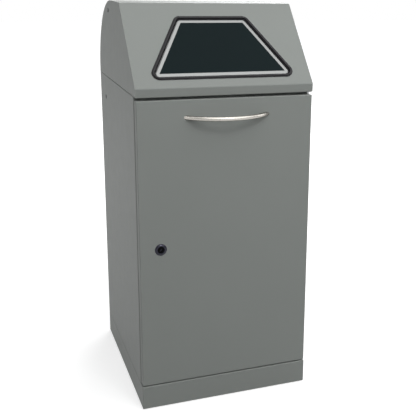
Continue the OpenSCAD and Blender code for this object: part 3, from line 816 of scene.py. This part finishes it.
# Flap, measured down the sloped face from its top edge and out from the film's outline
FILM_TOP = mm(55)
FILM_HEIGHT = mm(134.5)
FILM_TOP_HALF = mm(72)
FILM_BOTTOM_HALF = mm(142)
FILM_SHEET = mm(0.4)
FILM_CORNER = mm(1)
FLAP_RECESS = mm(1.5)
FLAP_SHEET = mm(1.2)
BAND = mm(8)
CUT_OUT = mm(13.5)
TRIM_INNER = mm(11)
TRIM_OUTER = mm(17.5)
TRIM_PROUD = mm(3.2)
TRIM_BEHIND = mm(2.5)
RIB_PITCH = mm(4.4)
RIB_VALLEY = 0.68
STOP_PLAY = mm(0.6)
STOP_REACH = TRIM_INNER + mm(6)
FILM_CORNERS = (
    (-FILM_TOP_HALF, -FILM_TOP),
    (-FILM_BOTTOM_HALF, -FILM_TOP - FILM_HEIGHT),
    (FILM_BOTTOM_HALF, -FILM_TOP - FILM_HEIGHT),
    (FILM_TOP_HALF, -FILM_TOP),
)


def cut_out_tool():
    """A block of the outline that the hood's opening has."""
    depth = mm(10)
    section = [(0, depth), (CUT_OUT, depth), (CUT_OUT, -depth), (0, -depth)]
    bm = swept(FILM_CORNERS, section, closed=False)
    closed_up(bm)
    return shaped("cut_out", bm, AT_SLOPE)


def hood_cover():
    """One folded sheet: lip, slope, flat top and rounded back, with a return under each end."""
    cover = strip(
        "hood_cover",
        [(back - HOOD_RETURN, body_top)] + HOOD_PROFILE + [(front + HOOD_RETURN, body_top)],
        [FOLD] + HOOD_RADII + [FOLD],
        "X",
        -half_width,
        half_width,
    )
    tools = [cut_out_tool()]
    for side in (-1, 1):
        notch = (side * (half_width + SHEET), side * (half_width - SHEET - JOINT_PLAY))
        low = (min(notch), front + SHEET, body_top - SHEET)
        high = (max(notch), back - SHEET, body_top + FOLD)
        tools.append(block(low, high))
    cut(cover, *tools)
    fitted(cover, "root", "powder_coat", "hood_shell")


def cheek_plate():
    """The left cheek: a plate inside the cover's edge, with a flange under it."""
    inner = inset_path(HOOD_PROFILE, SHEET)
    bm = bmesh.new()
    verts = [bm.verts.new((-half_width, *point)) for point in inner]
    bm.faces.new(verts)
    foot = bm.edges.get((verts[0], verts[-1]))
    moved_on(bm, [foot], (CHEEK_FLANGE, 0, 0))
    for i, radius in enumerate(HOOD_RADII, 1):
        offset = (radius - SHEET) * tan(abs(bend_at(inner, i)) / 2)
        rounded(bm, [verts[i]], offset, steps_of(radius), affect="VERTICES")
    rounded(bm, [foot], CHEEK_FOLD)
    face_towards(bm, largest_face(bm.faces), (-1, 0, 0))
    cheek = walled(shaped("hood_cheek_left_plate", bm))
    reach = HOOD_RETURN + JOINT_PLAY
    low_x = -half_width + SHEET + CHEEK_EDGE
    cut(
        cheek,
        block((low_x, front, body_top - SHEET), (0, front + reach, body_top + FOLD)),
        block((low_x, back - reach, body_top - SHEET), (0, back, body_top + FOLD)),
    )
    return cheek


def hood_cheeks():
    left = cheek_plate()
    right = flipped(left, "hood_cheek_right_plate")
    fitted(left, "root", "powder_coat", "hood_cheek_left", edge=CHEEK_EDGE)
    fitted(right, "root", "powder_coat", "hood_cheek_right", edge=CHEEK_EDGE)


# Door and plinth
DOOR_FLANGE = mm(16)
PLINTH_FLANGE = mm(40)
LOCK_INSET = mm(48)
LOCK_HEIGHT = mm(387)
LOCK_HOLE_RADIUS = mm(9.6)
HANDLE_DROP = mm(39)
HANDLE_LENGTH = mm(194)
HANDLE_REACH = mm(40)
HANDLE_BAR = mm(10)
HANDLE_SURPLUS = radians(4)
lock_x = LOCK_INSET - half_width
handle_z = door_high.z - HANDLE_DROP
AT_LOCK = at(lock_x, front, LOCK_HEIGHT) @ UPRIGHT_TO_BACK
bow_radius = ((HANDLE_LENGTH / 2) ** 2 + HANDLE_REACH**2) / (2 * HANDLE_REACH)


def door_pan():
    """The door's folded face with the lock's hole."""
    panel = pan("door_pan", door_low, door_high, [(0, 1, 0)], DOOR_FLANGE)
    start = (lock_x, front - SHEET, LOCK_HEIGHT)
    end = (lock_x, front + 3 * SHEET, LOCK_HEIGHT)
    cut(panel, rod(start, end, LOCK_HOLE_RADIUS))
    fitted(panel, "door", "powder_coat", "door_panel")


def plinth_frame():
    """Four folded walls, open above and below inside a flange."""
    base = pan("plinth_frame", plinth_low, plinth_high, [(0, 0, 1), (0, 0, -1)], PLINTH_FLANGE)
    fitted(base, "root", "powder_coat", "plinth")


def bow_handle():
    """A round bar bent to an arc and cut flush with the door."""
    centre = Vector((0, front - HANDLE_REACH + bow_radius, handle_z))
    middle_radius = bow_radius - HANDLE_BAR / 2
    half_angle = acos((bow_radius - HANDLE_REACH) / bow_radius) + HANDLE_SURPLUS
    bm = bmesh.new()
    bmesh.ops.create_circle(
        bm,
        segments=32,
        radius=HANDLE_BAR / 2,
        matrix=at(0, -middle_radius, 0) @ UPRIGHT_TO_SIDE,
    )
    to_left_end = Matrix.Rotation(-half_angle, 3, "Z")
    bmesh.ops.rotate(bm, cent=(0, 0, 0), matrix=to_left_end, verts=bm.verts)
    spun(bm, list(bm.verts) + list(bm.edges), 2 * half_angle, steps=96)
    bmesh.ops.translate(bm, vec=centre, verts=bm.verts)
    bmesh.ops.bisect_plane(
        bm,
        geom=list(bm.verts) + list(bm.edges) + list(bm.faces),
        plane_co=(0, front, 0),
        plane_no=(0, 1, 0),
        clear_outer=True,
    )
    closed_up(bm)
    bar = shaped("bow_handle_bar", bm)
    fitted(bar, "door", "satin_steel", "bow_handle", finish=SATIN_BAR, edge=mm(0.3))


def opening_trim():
    """The rubber edging: a ribbed bead with a thin lip beside it on the slope, a grip on the
    sheet, and a bead behind with a lip that closes the gap to the flap."""
    play = mm(0.1)
    bead_half = mm(2)
    bead_rise = TRIM_PROUD / 2
    outer_lip = mm(0.7)
    flap_lip = BAND + mm(0.8)
    under = -SHEET - play
    behind = -SHEET - TRIM_BEHIND
    section = (
        arc((TRIM_INNER + bead_half, bead_rise), bead_half, 225, -45, 18, bead_rise / bead_half)
        + arc((TRIM_OUTER - outer_lip, mm(0.5)), outer_lip, 150, 0, 5)
        + [
            (TRIM_OUTER - mm(0.2), play),
            (CUT_OUT - play, play),
            (CUT_OUT - play, under),
            (TRIM_OUTER - mm(1), under),
            (TRIM_OUTER - mm(1), behind + TRIM_BEHIND / 2),
            (TRIM_OUTER - mm(2), behind),
            (TRIM_INNER + mm(0.5), behind),
            (flap_lip, behind + mm(0.6)),
            (flap_lip, behind + mm(1.3)),
            (TRIM_INNER - mm(0.4), behind + mm(2.5)),
        ]
    )
    bm = ribbed(swept(FILM_CORNERS, section), FILM_CORNERS, RIB_PITCH, RIB_VALLEY)
    fitted(shaped("rubber_trim", bm, AT_SLOPE), "root", "black_rubber", "opening_trim", edge=0)


def flap_face():
    """The flap's raised metal face, its sides and the stop flange round it."""
    brow = mm(1.6)
    foot = mm(0.4)
    stop = -(SHEET + TRIM_BEHIND + STOP_PLAY)
    section = (
        [(0, -FLAP_RECESS)]
        + arc((BAND - brow, -FLAP_RECESS - brow), brow, 90, 0, 5)
        + arc((BAND + foot, stop + foot), foot, 180, 270, 3)
        + [(STOP_REACH, stop)]
    )
    bm = swept(FILM_CORNERS, section, closed=False)
    inside = [
        edge
        for edge in bm.edges
        if edge.is_boundary and all(abs(v.co.z + FLAP_RECESS) < mm(0.01) for v in edge.verts)
    ]
    bmesh.ops.holes_fill(bm, edges=inside, sides=0)
    face_towards(bm, largest_face(bm.faces), (0, 0, 1))
    return walled(shaped("flap_face", bm, AT_SLOPE), FLAP_SHEET)


# Flap hinge, in the slope's frame
LUG_AT = mm(64)
LUG_SHEET = mm(3)
LUG_RADIUS = mm(5.5)
LUG_SHOULDER = mm(2)
ROD_DOWN = mm(30)
ROD_DEPTH = mm(12)
ROD_RADIUS = mm(3)
ROD_HALF = mm(106)
AT_ROD = AT_SLOPE @ at(0, -ROD_DOWN, -ROD_DEPTH)


def flap_lug():
    """The left lug, from the stop flange round the hinge rod."""
    foot = FILM_TOP - BAND + FLAP_SHEET - ROD_DOWN
    under = ROD_DEPTH - SHEET - TRIM_BEHIND - STOP_PLAY - FLAP_SHEET
    reach = STOP_REACH - FILM_TOP + ROD_DOWN
    outline = (
        [(-foot, under), (-foot, under - LUG_SHOULDER)]
        + arc((0, 0), LUG_RADIUS, 210, 450, 24)
        + [(reach, under)]
    )
    lug = shaped("flap_lug", slab([(-LUG_AT, *point) for point in outline], (-LUG_SHEET, 0, 0)))
    start = (-LUG_AT + PAST, 0, 0)
    end = (-LUG_AT - LUG_SHEET - PAST, 0, 0)
    cut(lug, rod(start, end, ROD_RADIUS + PLAY))
    lug.data.transform(AT_ROD)
    return lug


def flap():
    lug = flap_lug()
    face = joined(flap_face(), lug, flipped(lug, "other_lug"))
    fitted(face, "flap", "satin_steel", "flap_plate", edge=mm(0.15))


def film():
    """The dark film on the flap, with its corners clipped round."""
    bm = slab([(x, y, -FLAP_RECESS) for x, y in FILM_CORNERS], (0, 0, FILM_SHEET))
    uprights = [
        edge for edge in bm.edges if abs(edge.verts[0].co.z - edge.verts[1].co.z) > FILM_SHEET / 2
    ]
    rounded(bm, uprights, FILM_CORNER, steps=4)
    dark = shaped("flap_dark_film", bm, AT_SLOPE)
    fitted(dark, "flap", "dark_film", "flap_film", edge=mm(0.1))


# Lock, with its heights measured into the door
ROSETTE_RADIUS = mm(13.5)
ROSETTE_SHEET = mm(2)
BARREL_RADIUS = mm(9.5)
CYLINDER_RADIUS = mm(7.5)
CYLINDER_PROUD = mm(0.6)
SLOT_LENGTH = mm(8)
SLOT_WIDTH = mm(1.8)
SLOT_DEPTH = mm(5)
SLOT_TURN = Matrix.Rotation(-pi / 4, 4, "Z")
CAM_DEPTH = mm(22)
CAM_SHEET = mm(2)
CAM_THREAD_RADIUS = mm(2.5)
CAM_THREAD_DEPTH = mm(10)
LOCK_EDGE = mm(0.12)


def lock_rosette():
    """The sloping ring on the door and the threaded barrel behind it."""
    edge = mm(0.4)
    bore = CYLINDER_RADIUS + PLAY
    land = bore + mm(2.2)
    rim = ROSETTE_RADIUS - mm(1.1)
    barrel_end = CAM_DEPTH - mm(1)
    threads = 18
    thread = mm(1)
    thread_depth = mm(0.45)
    profile = [
        (bore, edge - ROSETTE_SHEET),
        (bore + edge, -ROSETTE_SHEET),
        (land, -ROSETTE_SHEET),
        (land + mm(0.3), edge / 4 - ROSETTE_SHEET),
        (land + mm(0.7), mm(0.35) - ROSETTE_SHEET),
        (rim - mm(0.4), -mm(0.62)),
        (rim, -edge),
        (ROSETTE_RADIUS - edge / 2, -edge),
        (ROSETTE_RADIUS, -edge / 2),
        (ROSETTE_RADIUS, 0),
        (BARREL_RADIUS, 0),
    ]
    for i in range(threads):
        crest = SHEET + mm(0.5) + i * thread
        profile.append((BARREL_RADIUS, crest))
        profile.append((BARREL_RADIUS - thread_depth, crest + thread / 2))
    profile += [(BARREL_RADIUS - mm(0.3), barrel_end), (bore, barrel_end)]
    ring = repeated(turned("lock_rosette", profile, closed=True, steps=64), AT_LOCK)
    fitted(ring, "door", "black_plastic", "lock_housing", finish=LOCK_RING, edge=LOCK_EDGE)


def lock_barrel():
    """The cylinder that the key turns, with its slot and the shutter in it."""
    face = ROSETTE_SHEET + CYLINDER_PROUD
    edge = mm(0.5)
    groove = mm(5.6)
    groove_half = mm(0.25)
    groove_depth = mm(0.35)
    thread = CAM_THREAD_RADIUS + PLAY
    profile = (
        [
            (0, -face),
            (groove - groove_half, -face),
            (groove, -face + groove_depth),
            (groove + groove_half, -face),
        ]
        + arc((CYLINDER_RADIUS - edge, -face + edge), edge, -90, 0, 5)
        + [
            (CYLINDER_RADIUS, CAM_DEPTH),
            (thread, CAM_DEPTH),
            (thread, CAM_DEPTH - CAM_THREAD_DEPTH),
            (0, CAM_DEPTH - CAM_THREAD_DEPTH),
        ]
    )
    barrel = turned("lock_barrel", profile, steps=64)
    half_x = SLOT_LENGTH / 2
    half_y = SLOT_WIDTH / 2
    slot = block((-half_x, -half_y, -face - PAST), (half_x, half_y, -face + SLOT_DEPTH))
    slot.data.transform(SLOT_TURN)
    barrel = repeated(cut(barrel, slot), AT_LOCK)
    fitted(barrel, "lock", "black_plastic", "lock_cylinder", finish=LOCK_FACE, edge=LOCK_EDGE)
    half_x -= mm(0.3)
    half_y -= mm(0.2)
    sunk = mm(1) - face
    shutter = block(
        (-half_x, -half_y, sunk), (half_x, half_y, sunk + mm(0.5)), "key_slot_shutter"
    )
    repeated(shutter, AT_LOCK @ SLOT_TURN)
    fitted(shutter, "lock", "black_plastic", finish=LOCK_RING, edge=mm(0.15))


# Fasteners and small turned pieces
FASTENER_EDGE = mm(0.15)
SCREW_INSET = mm(12)
SCREW_FROM_END = mm(100)
PIN_AT = (half_width - mm(6.5), front + mm(12))
PIN_RADIUS = mm(3)
PIN_HEAD = mm(3)


def four_places(x, from_end, z):
    """Left and right at the same distance from the front and the back."""
    ends = (front + from_end, back - from_end)
    return [at(side * x, y, z) for side in (-1, 1) for y in ends]


def screw(name, radius, shank, head_radius, head, socket):
    """A round-headed screw with a hexagon socket; its head starts at 0 and looks along +Z."""
    tip = mm(0.4)
    dome = head * 0.7
    socket_floor = head * 0.35
    profile = (
        [(0, -shank), (radius - tip, -shank), (radius, tip - shank), (radius, 0)]
        + [(head_radius, 0)]
        + arc((0, head - dome), head_radius, 0, 80, 8, dome / head_radius)
        + [(0, head)]
    )
    return cut(
        turned(name, profile),
        rod((0, 0, socket_floor), (0, 0, head * 2), socket, sides=6),
    )


def hood_screws():
    """Four screws from inside, down through the cheeks' flanges into the side panels."""
    places = four_places(half_width - SCREW_INSET, SCREW_FROM_END, body_top + SHEET)
    bolt = screw(
        "hood_bolts", radius=mm(2.5), shank=mm(8), head_radius=mm(4.5), head=mm(3), socket=mm(1.7)
    )
    fitted(repeated(bolt, *places), "root", "zinc_steel", "hood_screws", edge=FASTENER_EDGE)


def handle_screws():
    """Two screws from inside the door into the ends of the handle."""
    end_half = sqrt((bow_radius - HANDLE_BAR) ** 2 - (bow_radius - HANDLE_REACH) ** 2)
    x = (HANDLE_LENGTH / 2 + end_half) / 2
    places = [at(side * x, front + SHEET, handle_z) @ UPRIGHT_TO_BACK for side in (-1, 1)]
    bolt = screw(
        "handle_bolts", radius=mm(2), shank=mm(6), head_radius=mm(4), head=mm(2.4), socket=mm(1.5)
    )
    fitted(repeated(bolt, *places), "door", "zinc_steel", "handle_screws", edge=FASTENER_EDGE)


def cam_bolt():
    """The screw that holds the cam on the lock's cylinder."""
    bolt = screw(
        "cam_bolt",
        radius=CAM_THREAD_RADIUS,
        shank=mm(10.7),
        head_radius=mm(5),
        head=mm(3),
        socket=mm(1.9),
    )
    repeated(bolt, AT_LOCK @ at(0, 0, CAM_DEPTH + CAM_SHEET))
    fitted(bolt, "lock", "zinc_steel", "cam_screw", edge=FASTENER_EDGE)


def side_plugs():
    """Caps in the holes of the sides, with a shallow dish."""
    cap = mm(5)
    proud = mm(1.2)
    edge = mm(0.6)
    stem = mm(3.5)
    stem_end = mm(5)
    dish = ((0, mm(0.35)), (cap * 0.45, mm(0.25)), (cap * 0.62, 0))
    profile = (
        [(radius, depth - proud) for radius, depth in dish]
        + arc((cap - edge, edge - proud), edge, -90, 0, 5)
        + [(cap, 0), (stem, 0), (stem, stem_end - edge), (stem - edge, stem_end), (0, stem_end)]
    )
    left = [
        at(-half_width, y, z) @ UPRIGHT_TO_SIDE
        for y, z in ((back - mm(74), body_top - mm(53)), (back - mm(144), top - mm(24)))
    ]
    right = [LEFT_TO_RIGHT @ place for place in left]
    plugs = repeated(turned("hole_caps", profile), *left, *right)
    fitted(plugs, "root", "black_plastic", "side_plugs", finish=PLUG_PLASTIC, edge=mm(0.1))


def glides():
    """Four plastic feet on stems under the plinth."""
    foot = mm(13)
    high = mm(2)
    edge = mm(0.7)
    stem = mm(4)
    stem_top = mm(14)
    tip = mm(0.5)
    inset = mm(22)
    profile = (
        [(0, 0)]
        + arc((foot - edge, edge), edge, -90, 0, 5)
        + [(foot, high), (stem, high), (stem, stem_top - tip), (stem - tip, stem_top)]
        + [(0, stem_top)]
    )
    places = four_places(half_width - inset, inset, 0)
    feet = repeated(turned("glide_feet", profile, steps=56), *places)
    fitted(feet, "root", "black_plastic", "plinth_glides", edge=FASTENER_EDGE)


def hinge_pin(name, node, head_end, reach, upside_down=False):
    """A headed pin that points up or down into the door."""
    head_radius = mm(4.5)
    edge = mm(0.5)
    tip = PIN_HEAD + reach
    profile = (
        [(0, 0)]
        + arc((head_radius - edge, edge), edge, -90, 0, 4)
        + [(head_radius, PIN_HEAD), (PIN_RADIUS, PIN_HEAD)]
        + arc((PIN_RADIUS - edge, tip - edge), edge, 0, 90, 4)
        + [(0, tip)]
    )
    place = at(*PIN_AT, head_end)
    if upside_down:
        place = place @ Matrix.Rotation(pi, 4, "X")
    pin = repeated(turned(name, profile), place)
    fitted(pin, "root", "zinc_steel", node, edge=mm(0.1))


def washer():
    """The ring that the door turns on, round the lower pin."""
    bore = PIN_RADIUS + PLAY
    outer = mm(5)
    high = mm(2.2)
    edge = mm(0.4)
    rim = arc((outer - edge, high - edge), edge, 0, 90, 4)
    ring = turned("nylon_washer", [(bore, 0), (outer, 0)] + rim + [(bore, high)], closed=True)
    repeated(ring, at(*PIN_AT, plinth_high.z))
    fitted(ring, "root", "nylon", "thrust_washer", edge=mm(0.1))


def bumpers():
    """Domed rubber buttons on the left front flange."""
    radius = mm(5)
    high = mm(1.7)
    inset = mm(12)
    body_front = front + mm(20)
    from_end = mm(100)
    profile = [(0, 0), (radius, 0)]
    for angle in range(15, 91, 15):
        drawn_in = mm(0.85) * (1 - cos(radians(angle))) + mm(2) * sin(radians(angle)) ** 4
        profile.append((radius - drawn_in, high * sin(radians(angle))))
    profile.append((0, high))
    places = [
        at(-half_width + inset, body_front, z) @ UPRIGHT_TO_FRONT
        for z in (plinth_high.z + from_end, body_top - from_end)
    ]
    buttons = repeated(turned("rubber_buttons", profile), *places)
    fitted(buttons, "root", "black_rubber", "door_bumpers", edge=mm(0.1))


def hinge_rod():
    """The rod under the slope that the flap hangs on."""
    edge = mm(0.5)
    profile = [
        (0, -ROD_HALF),
        (ROD_RADIUS - edge, -ROD_HALF),
        (ROD_RADIUS, edge - ROD_HALF),
        (ROD_RADIUS, ROD_HALF - edge),
        (ROD_RADIUS - edge, ROD_HALF),
        (0, ROD_HALF),
    ]
    bar = repeated(turned("flap_rod", profile), AT_ROD @ UPRIGHT_TO_SIDE)
    fitted(bar, "root", "zinc_steel", "flap_hinge_rod", edge=mm(0.1))


# Torsion springs
WIRE = mm(1.6)
COIL_RADIUS = mm(5.2)
COIL_PITCH = mm(2.4)
COIL_TURNS = 5
TURN_STEPS = 24
LEG_SLOPE = radians(15)
LEG_PLAY = mm(0.2)


def closing_spring(name, side):
    """A torsion spring round the rod: one leg on the flap, the other under the slope."""
    start = LUG_AT + LUG_SHEET + mm(2)
    flap_leg = FILM_TOP - TRIM_INNER - ROD_DOWN
    rise = ROD_DEPTH - SHEET - WIRE / 2 - LEG_PLAY - COIL_RADIUS * cos(LEG_SLOPE)
    leg = rise / sin(LEG_SLOPE)
    angle = 2 * pi * COIL_TURNS - LEG_SLOPE
    steps = TURN_STEPS * COIL_TURNS
    bm = bmesh.new()
    bmesh.ops.create_circle(
        bm,
        segments=12,
        radius=WIRE / 2,
        matrix=at(start, -flap_leg, COIL_RADIUS) @ UPRIGHT_TO_FRONT,
    )
    verts, edges = moved_on(bm, list(bm.edges), (0, flap_leg, 0))
    edges = spun(
        bm,
        verts + edges,
        angle,
        steps,
        centre=(start, 0, 0),
        axis=(-1, 0, 0),
        dvec=(COIL_PITCH * angle / (2 * pi) / steps, 0, 0),
    )
    moved_on(bm, edges, (0, leg * cos(LEG_SLOPE), leg * sin(LEG_SLOPE)))
    closed_up(bm)
    place = AT_ROD if side > 0 else LEFT_TO_RIGHT @ AT_ROD
    spring = repeated(shaped(name, bm), place)
    spring.data.materials.append(FINISHES["zinc_steel"])
    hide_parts("flap_springs")
    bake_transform(spring)


# Bag frame
frame_low, frame_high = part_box("bag_frame")
frame_middle = (frame_low + frame_high) / 2
AT_MOUTH = at(frame_middle.x, frame_middle.y, 0)
MOUTH_HALF = mm(150)
MOUTH_RADIUS = mm(35)
MOUTH_STEPS = 12
BEAD = mm(3)
MOUTH_CORNERS = rectangle(MOUTH_HALF - MOUTH_RADIUS, MOUTH_HALF - MOUTH_RADIUS)


def rounded_loop(bm, half_x, half_y, radius, height):
    """The edges of a flat rectangle with round corners, in a bmesh that has no faces yet."""
    verts = [bm.verts.new((x, y, height)) for x, y in rectangle(half_x, half_y)]
    bm.faces.new(verts)
    rounded(bm, verts, radius, MOUTH_STEPS, affect="VERTICES")
    face = next(iter(bm.faces))
    edges = list(face.edges)
    bmesh.ops.delete(bm, geom=[face], context="FACES_ONLY")
    return edges


def bag_frame():
    """A flat ring with a round-cornered mouth, a skirt and a bead that the bag hangs on."""
    half = (frame_high - frame_low) / 2
    corner = mm(12)
    bm = bmesh.new()
    outer = rounded_loop(bm, half.x, half.y, corner, frame_high.z)
    mouth = rounded_loop(bm, MOUTH_HALF, MOUTH_HALF, MOUTH_RADIUS, frame_high.z)
    bmesh.ops.bridge_loops(bm, edges=outer + mouth)
    face_towards(bm, next(iter(bm.faces)), (0, 0, 1))
    moved_on(bm, mouth, (0, 0, frame_low.z - frame_high.z))
    rounded(bm, mouth, FOLD)
    ring = walled(shaped("bag_ring", bm, AT_MOUTH))
    radius = BEAD / 2
    section = arc((MOUTH_RADIUS + SHEET + radius, frame_low.z + radius), radius, 0, 330, 11)
    bead = swept(MOUTH_CORNERS, section, steps=MOUTH_STEPS)
    joined(ring, shaped("bead", bead, AT_MOUTH))
    fitted(ring, "root", "zinc_steel", "bag_frame", edge=mm(0.2))


def bag_band():
    """The rubber band that holds the bag on the skirt, over the bead."""
    play = mm(0.1)
    edge = mm(1.8)
    inner = MOUTH_RADIUS + SHEET + play + edge
    outer = inner + mm(5) - 2 * edge
    low = frame_low.z + BEAD + play + edge
    high = low + mm(6) - 2 * edge
    section = []
    for i, centre in enumerate(((inner, low), (outer, low), (outer, high), (inner, high))):
        section += arc(centre, edge, 180 + 90 * i, 270 + 90 * i, 4)
    bm = swept(MOUTH_CORNERS, section, steps=MOUTH_STEPS)
    fitted(shaped("rubber_band", bm, AT_MOUTH), "root", "black_rubber", "bag_band", edge=0)


def rails():
    """Two angles inside the side panels that carry the bag frame."""
    low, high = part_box("bag_rails")
    ledge = mm(24)
    path = [(low.x + ledge, high.z), (low.x, high.z), (low.x, low.z)]
    left = strip("frame_rails", path, [FOLD], "Y", low.y, high.y)
    joined(left, flipped(left, "right_rail"))
    fitted(left, "root", "zinc_steel", "bag_rails")


def stiffener():
    """A hat section down the inside of the door."""
    low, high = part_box("door_stiffener")
    crown = mm(20)
    path = [
        (low.x, low.y),
        (-crown, low.y),
        (-crown, high.y),
        (crown, high.y),
        (crown, low.y),
        (high.x, low.y),
    ]
    hat = strip("door_hat_section", path, [FOLD] * 4, "Z", low.z, high.z)
    fitted(hat, "door", "zinc_steel", "door_stiffener")


def floor_tray():
    """The cabinet's floor, turned up at both sides."""
    low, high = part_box("floor_panel")
    path = [(low.x, high.z), (low.x, low.z), (high.x, low.z), (high.x, high.z)]
    tray = strip("floor_tray", path, [FOLD] * 2, "Y", low.y, high.y)
    fitted(tray, "root", "powder_coat", "floor_panel")


def head_rail():
    """The channel across the cabinet behind the door's top edge."""
    low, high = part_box("top_rail")
    path = [(high.y, high.z), (low.y, high.z), (low.y, low.z), (high.y, low.z)]
    rail = strip("head_rail", path, [FOLD] * 2, "X", low.x, high.x)
    fitted(rail, "root", "powder_coat", "top_rail")


def eased_copy(node, name, body, slot, edge=mm(0.3)):
    """The node's own shape with its sharp edges broken."""
    bm = bmesh.new()
    bm.from_mesh(frame["nodes"][node].data)
    bmesh.ops.remove_doubles(bm, verts=bm.verts, dist=mm(0.01))
    bmesh.ops.dissolve_limit(
        bm, angle_limit=radians(0.5), verts=list(bm.verts), edges=list(bm.edges)
    )
    fitted(shaped(name, bm), body, slot, node, edge=edge)


hood_cover()
hood_cheeks()
door_pan()
plinth_frame()
bow_handle()
opening_trim()
flap()
film()
lock_rosette()
lock_barrel()
hood_screws()
handle_screws()
cam_bolt()
side_plugs()
glides()
under_door = plinth_high.z - SHEET - PIN_HEAD
over_door = body_top + SHEET + PIN_HEAD
hinge_pin("door_pin_lower", "lower_hinge_pin", under_door, mm(12.5))
hinge_pin("door_pin_upper", "upper_hinge_pin", over_door, mm(16), upside_down=True)
washer()
bumpers()
hinge_rod()
closing_spring("closing_spring_left", -1)
closing_spring("closing_spring_right", 1)
bag_frame()
bag_band()
rails()
stiffener()
floor_tray()
head_rail()
eased_copy("left_side_panel", "side_wall_left", "root", "powder_coat", CUT_EDGE)
eased_copy("right_side_panel", "side_wall_right", "root", "powder_coat", CUT_EDGE)
eased_copy("back_panel", "back_wall", "root", "powder_coat")
eased_copy("flap_hinge_brackets", "rod_brackets", "root", "zinc_steel")
eased_copy("rod_clips", "rod_end_clips", "root", "zinc_steel")
eased_copy("lock_nut", "barrel_nut", "door", "zinc_steel")
eased_copy("lower_hinge_block", "pin_block_lower", "door", "black_plastic")
eased_copy("upper_hinge_block", "pin_block_upper", "door", "black_plastic")
eased_copy("lock_cam", "cam_plate", "lock", "zinc_steel")

bpy.context.scene.view_settings.view_transform = "Standard"
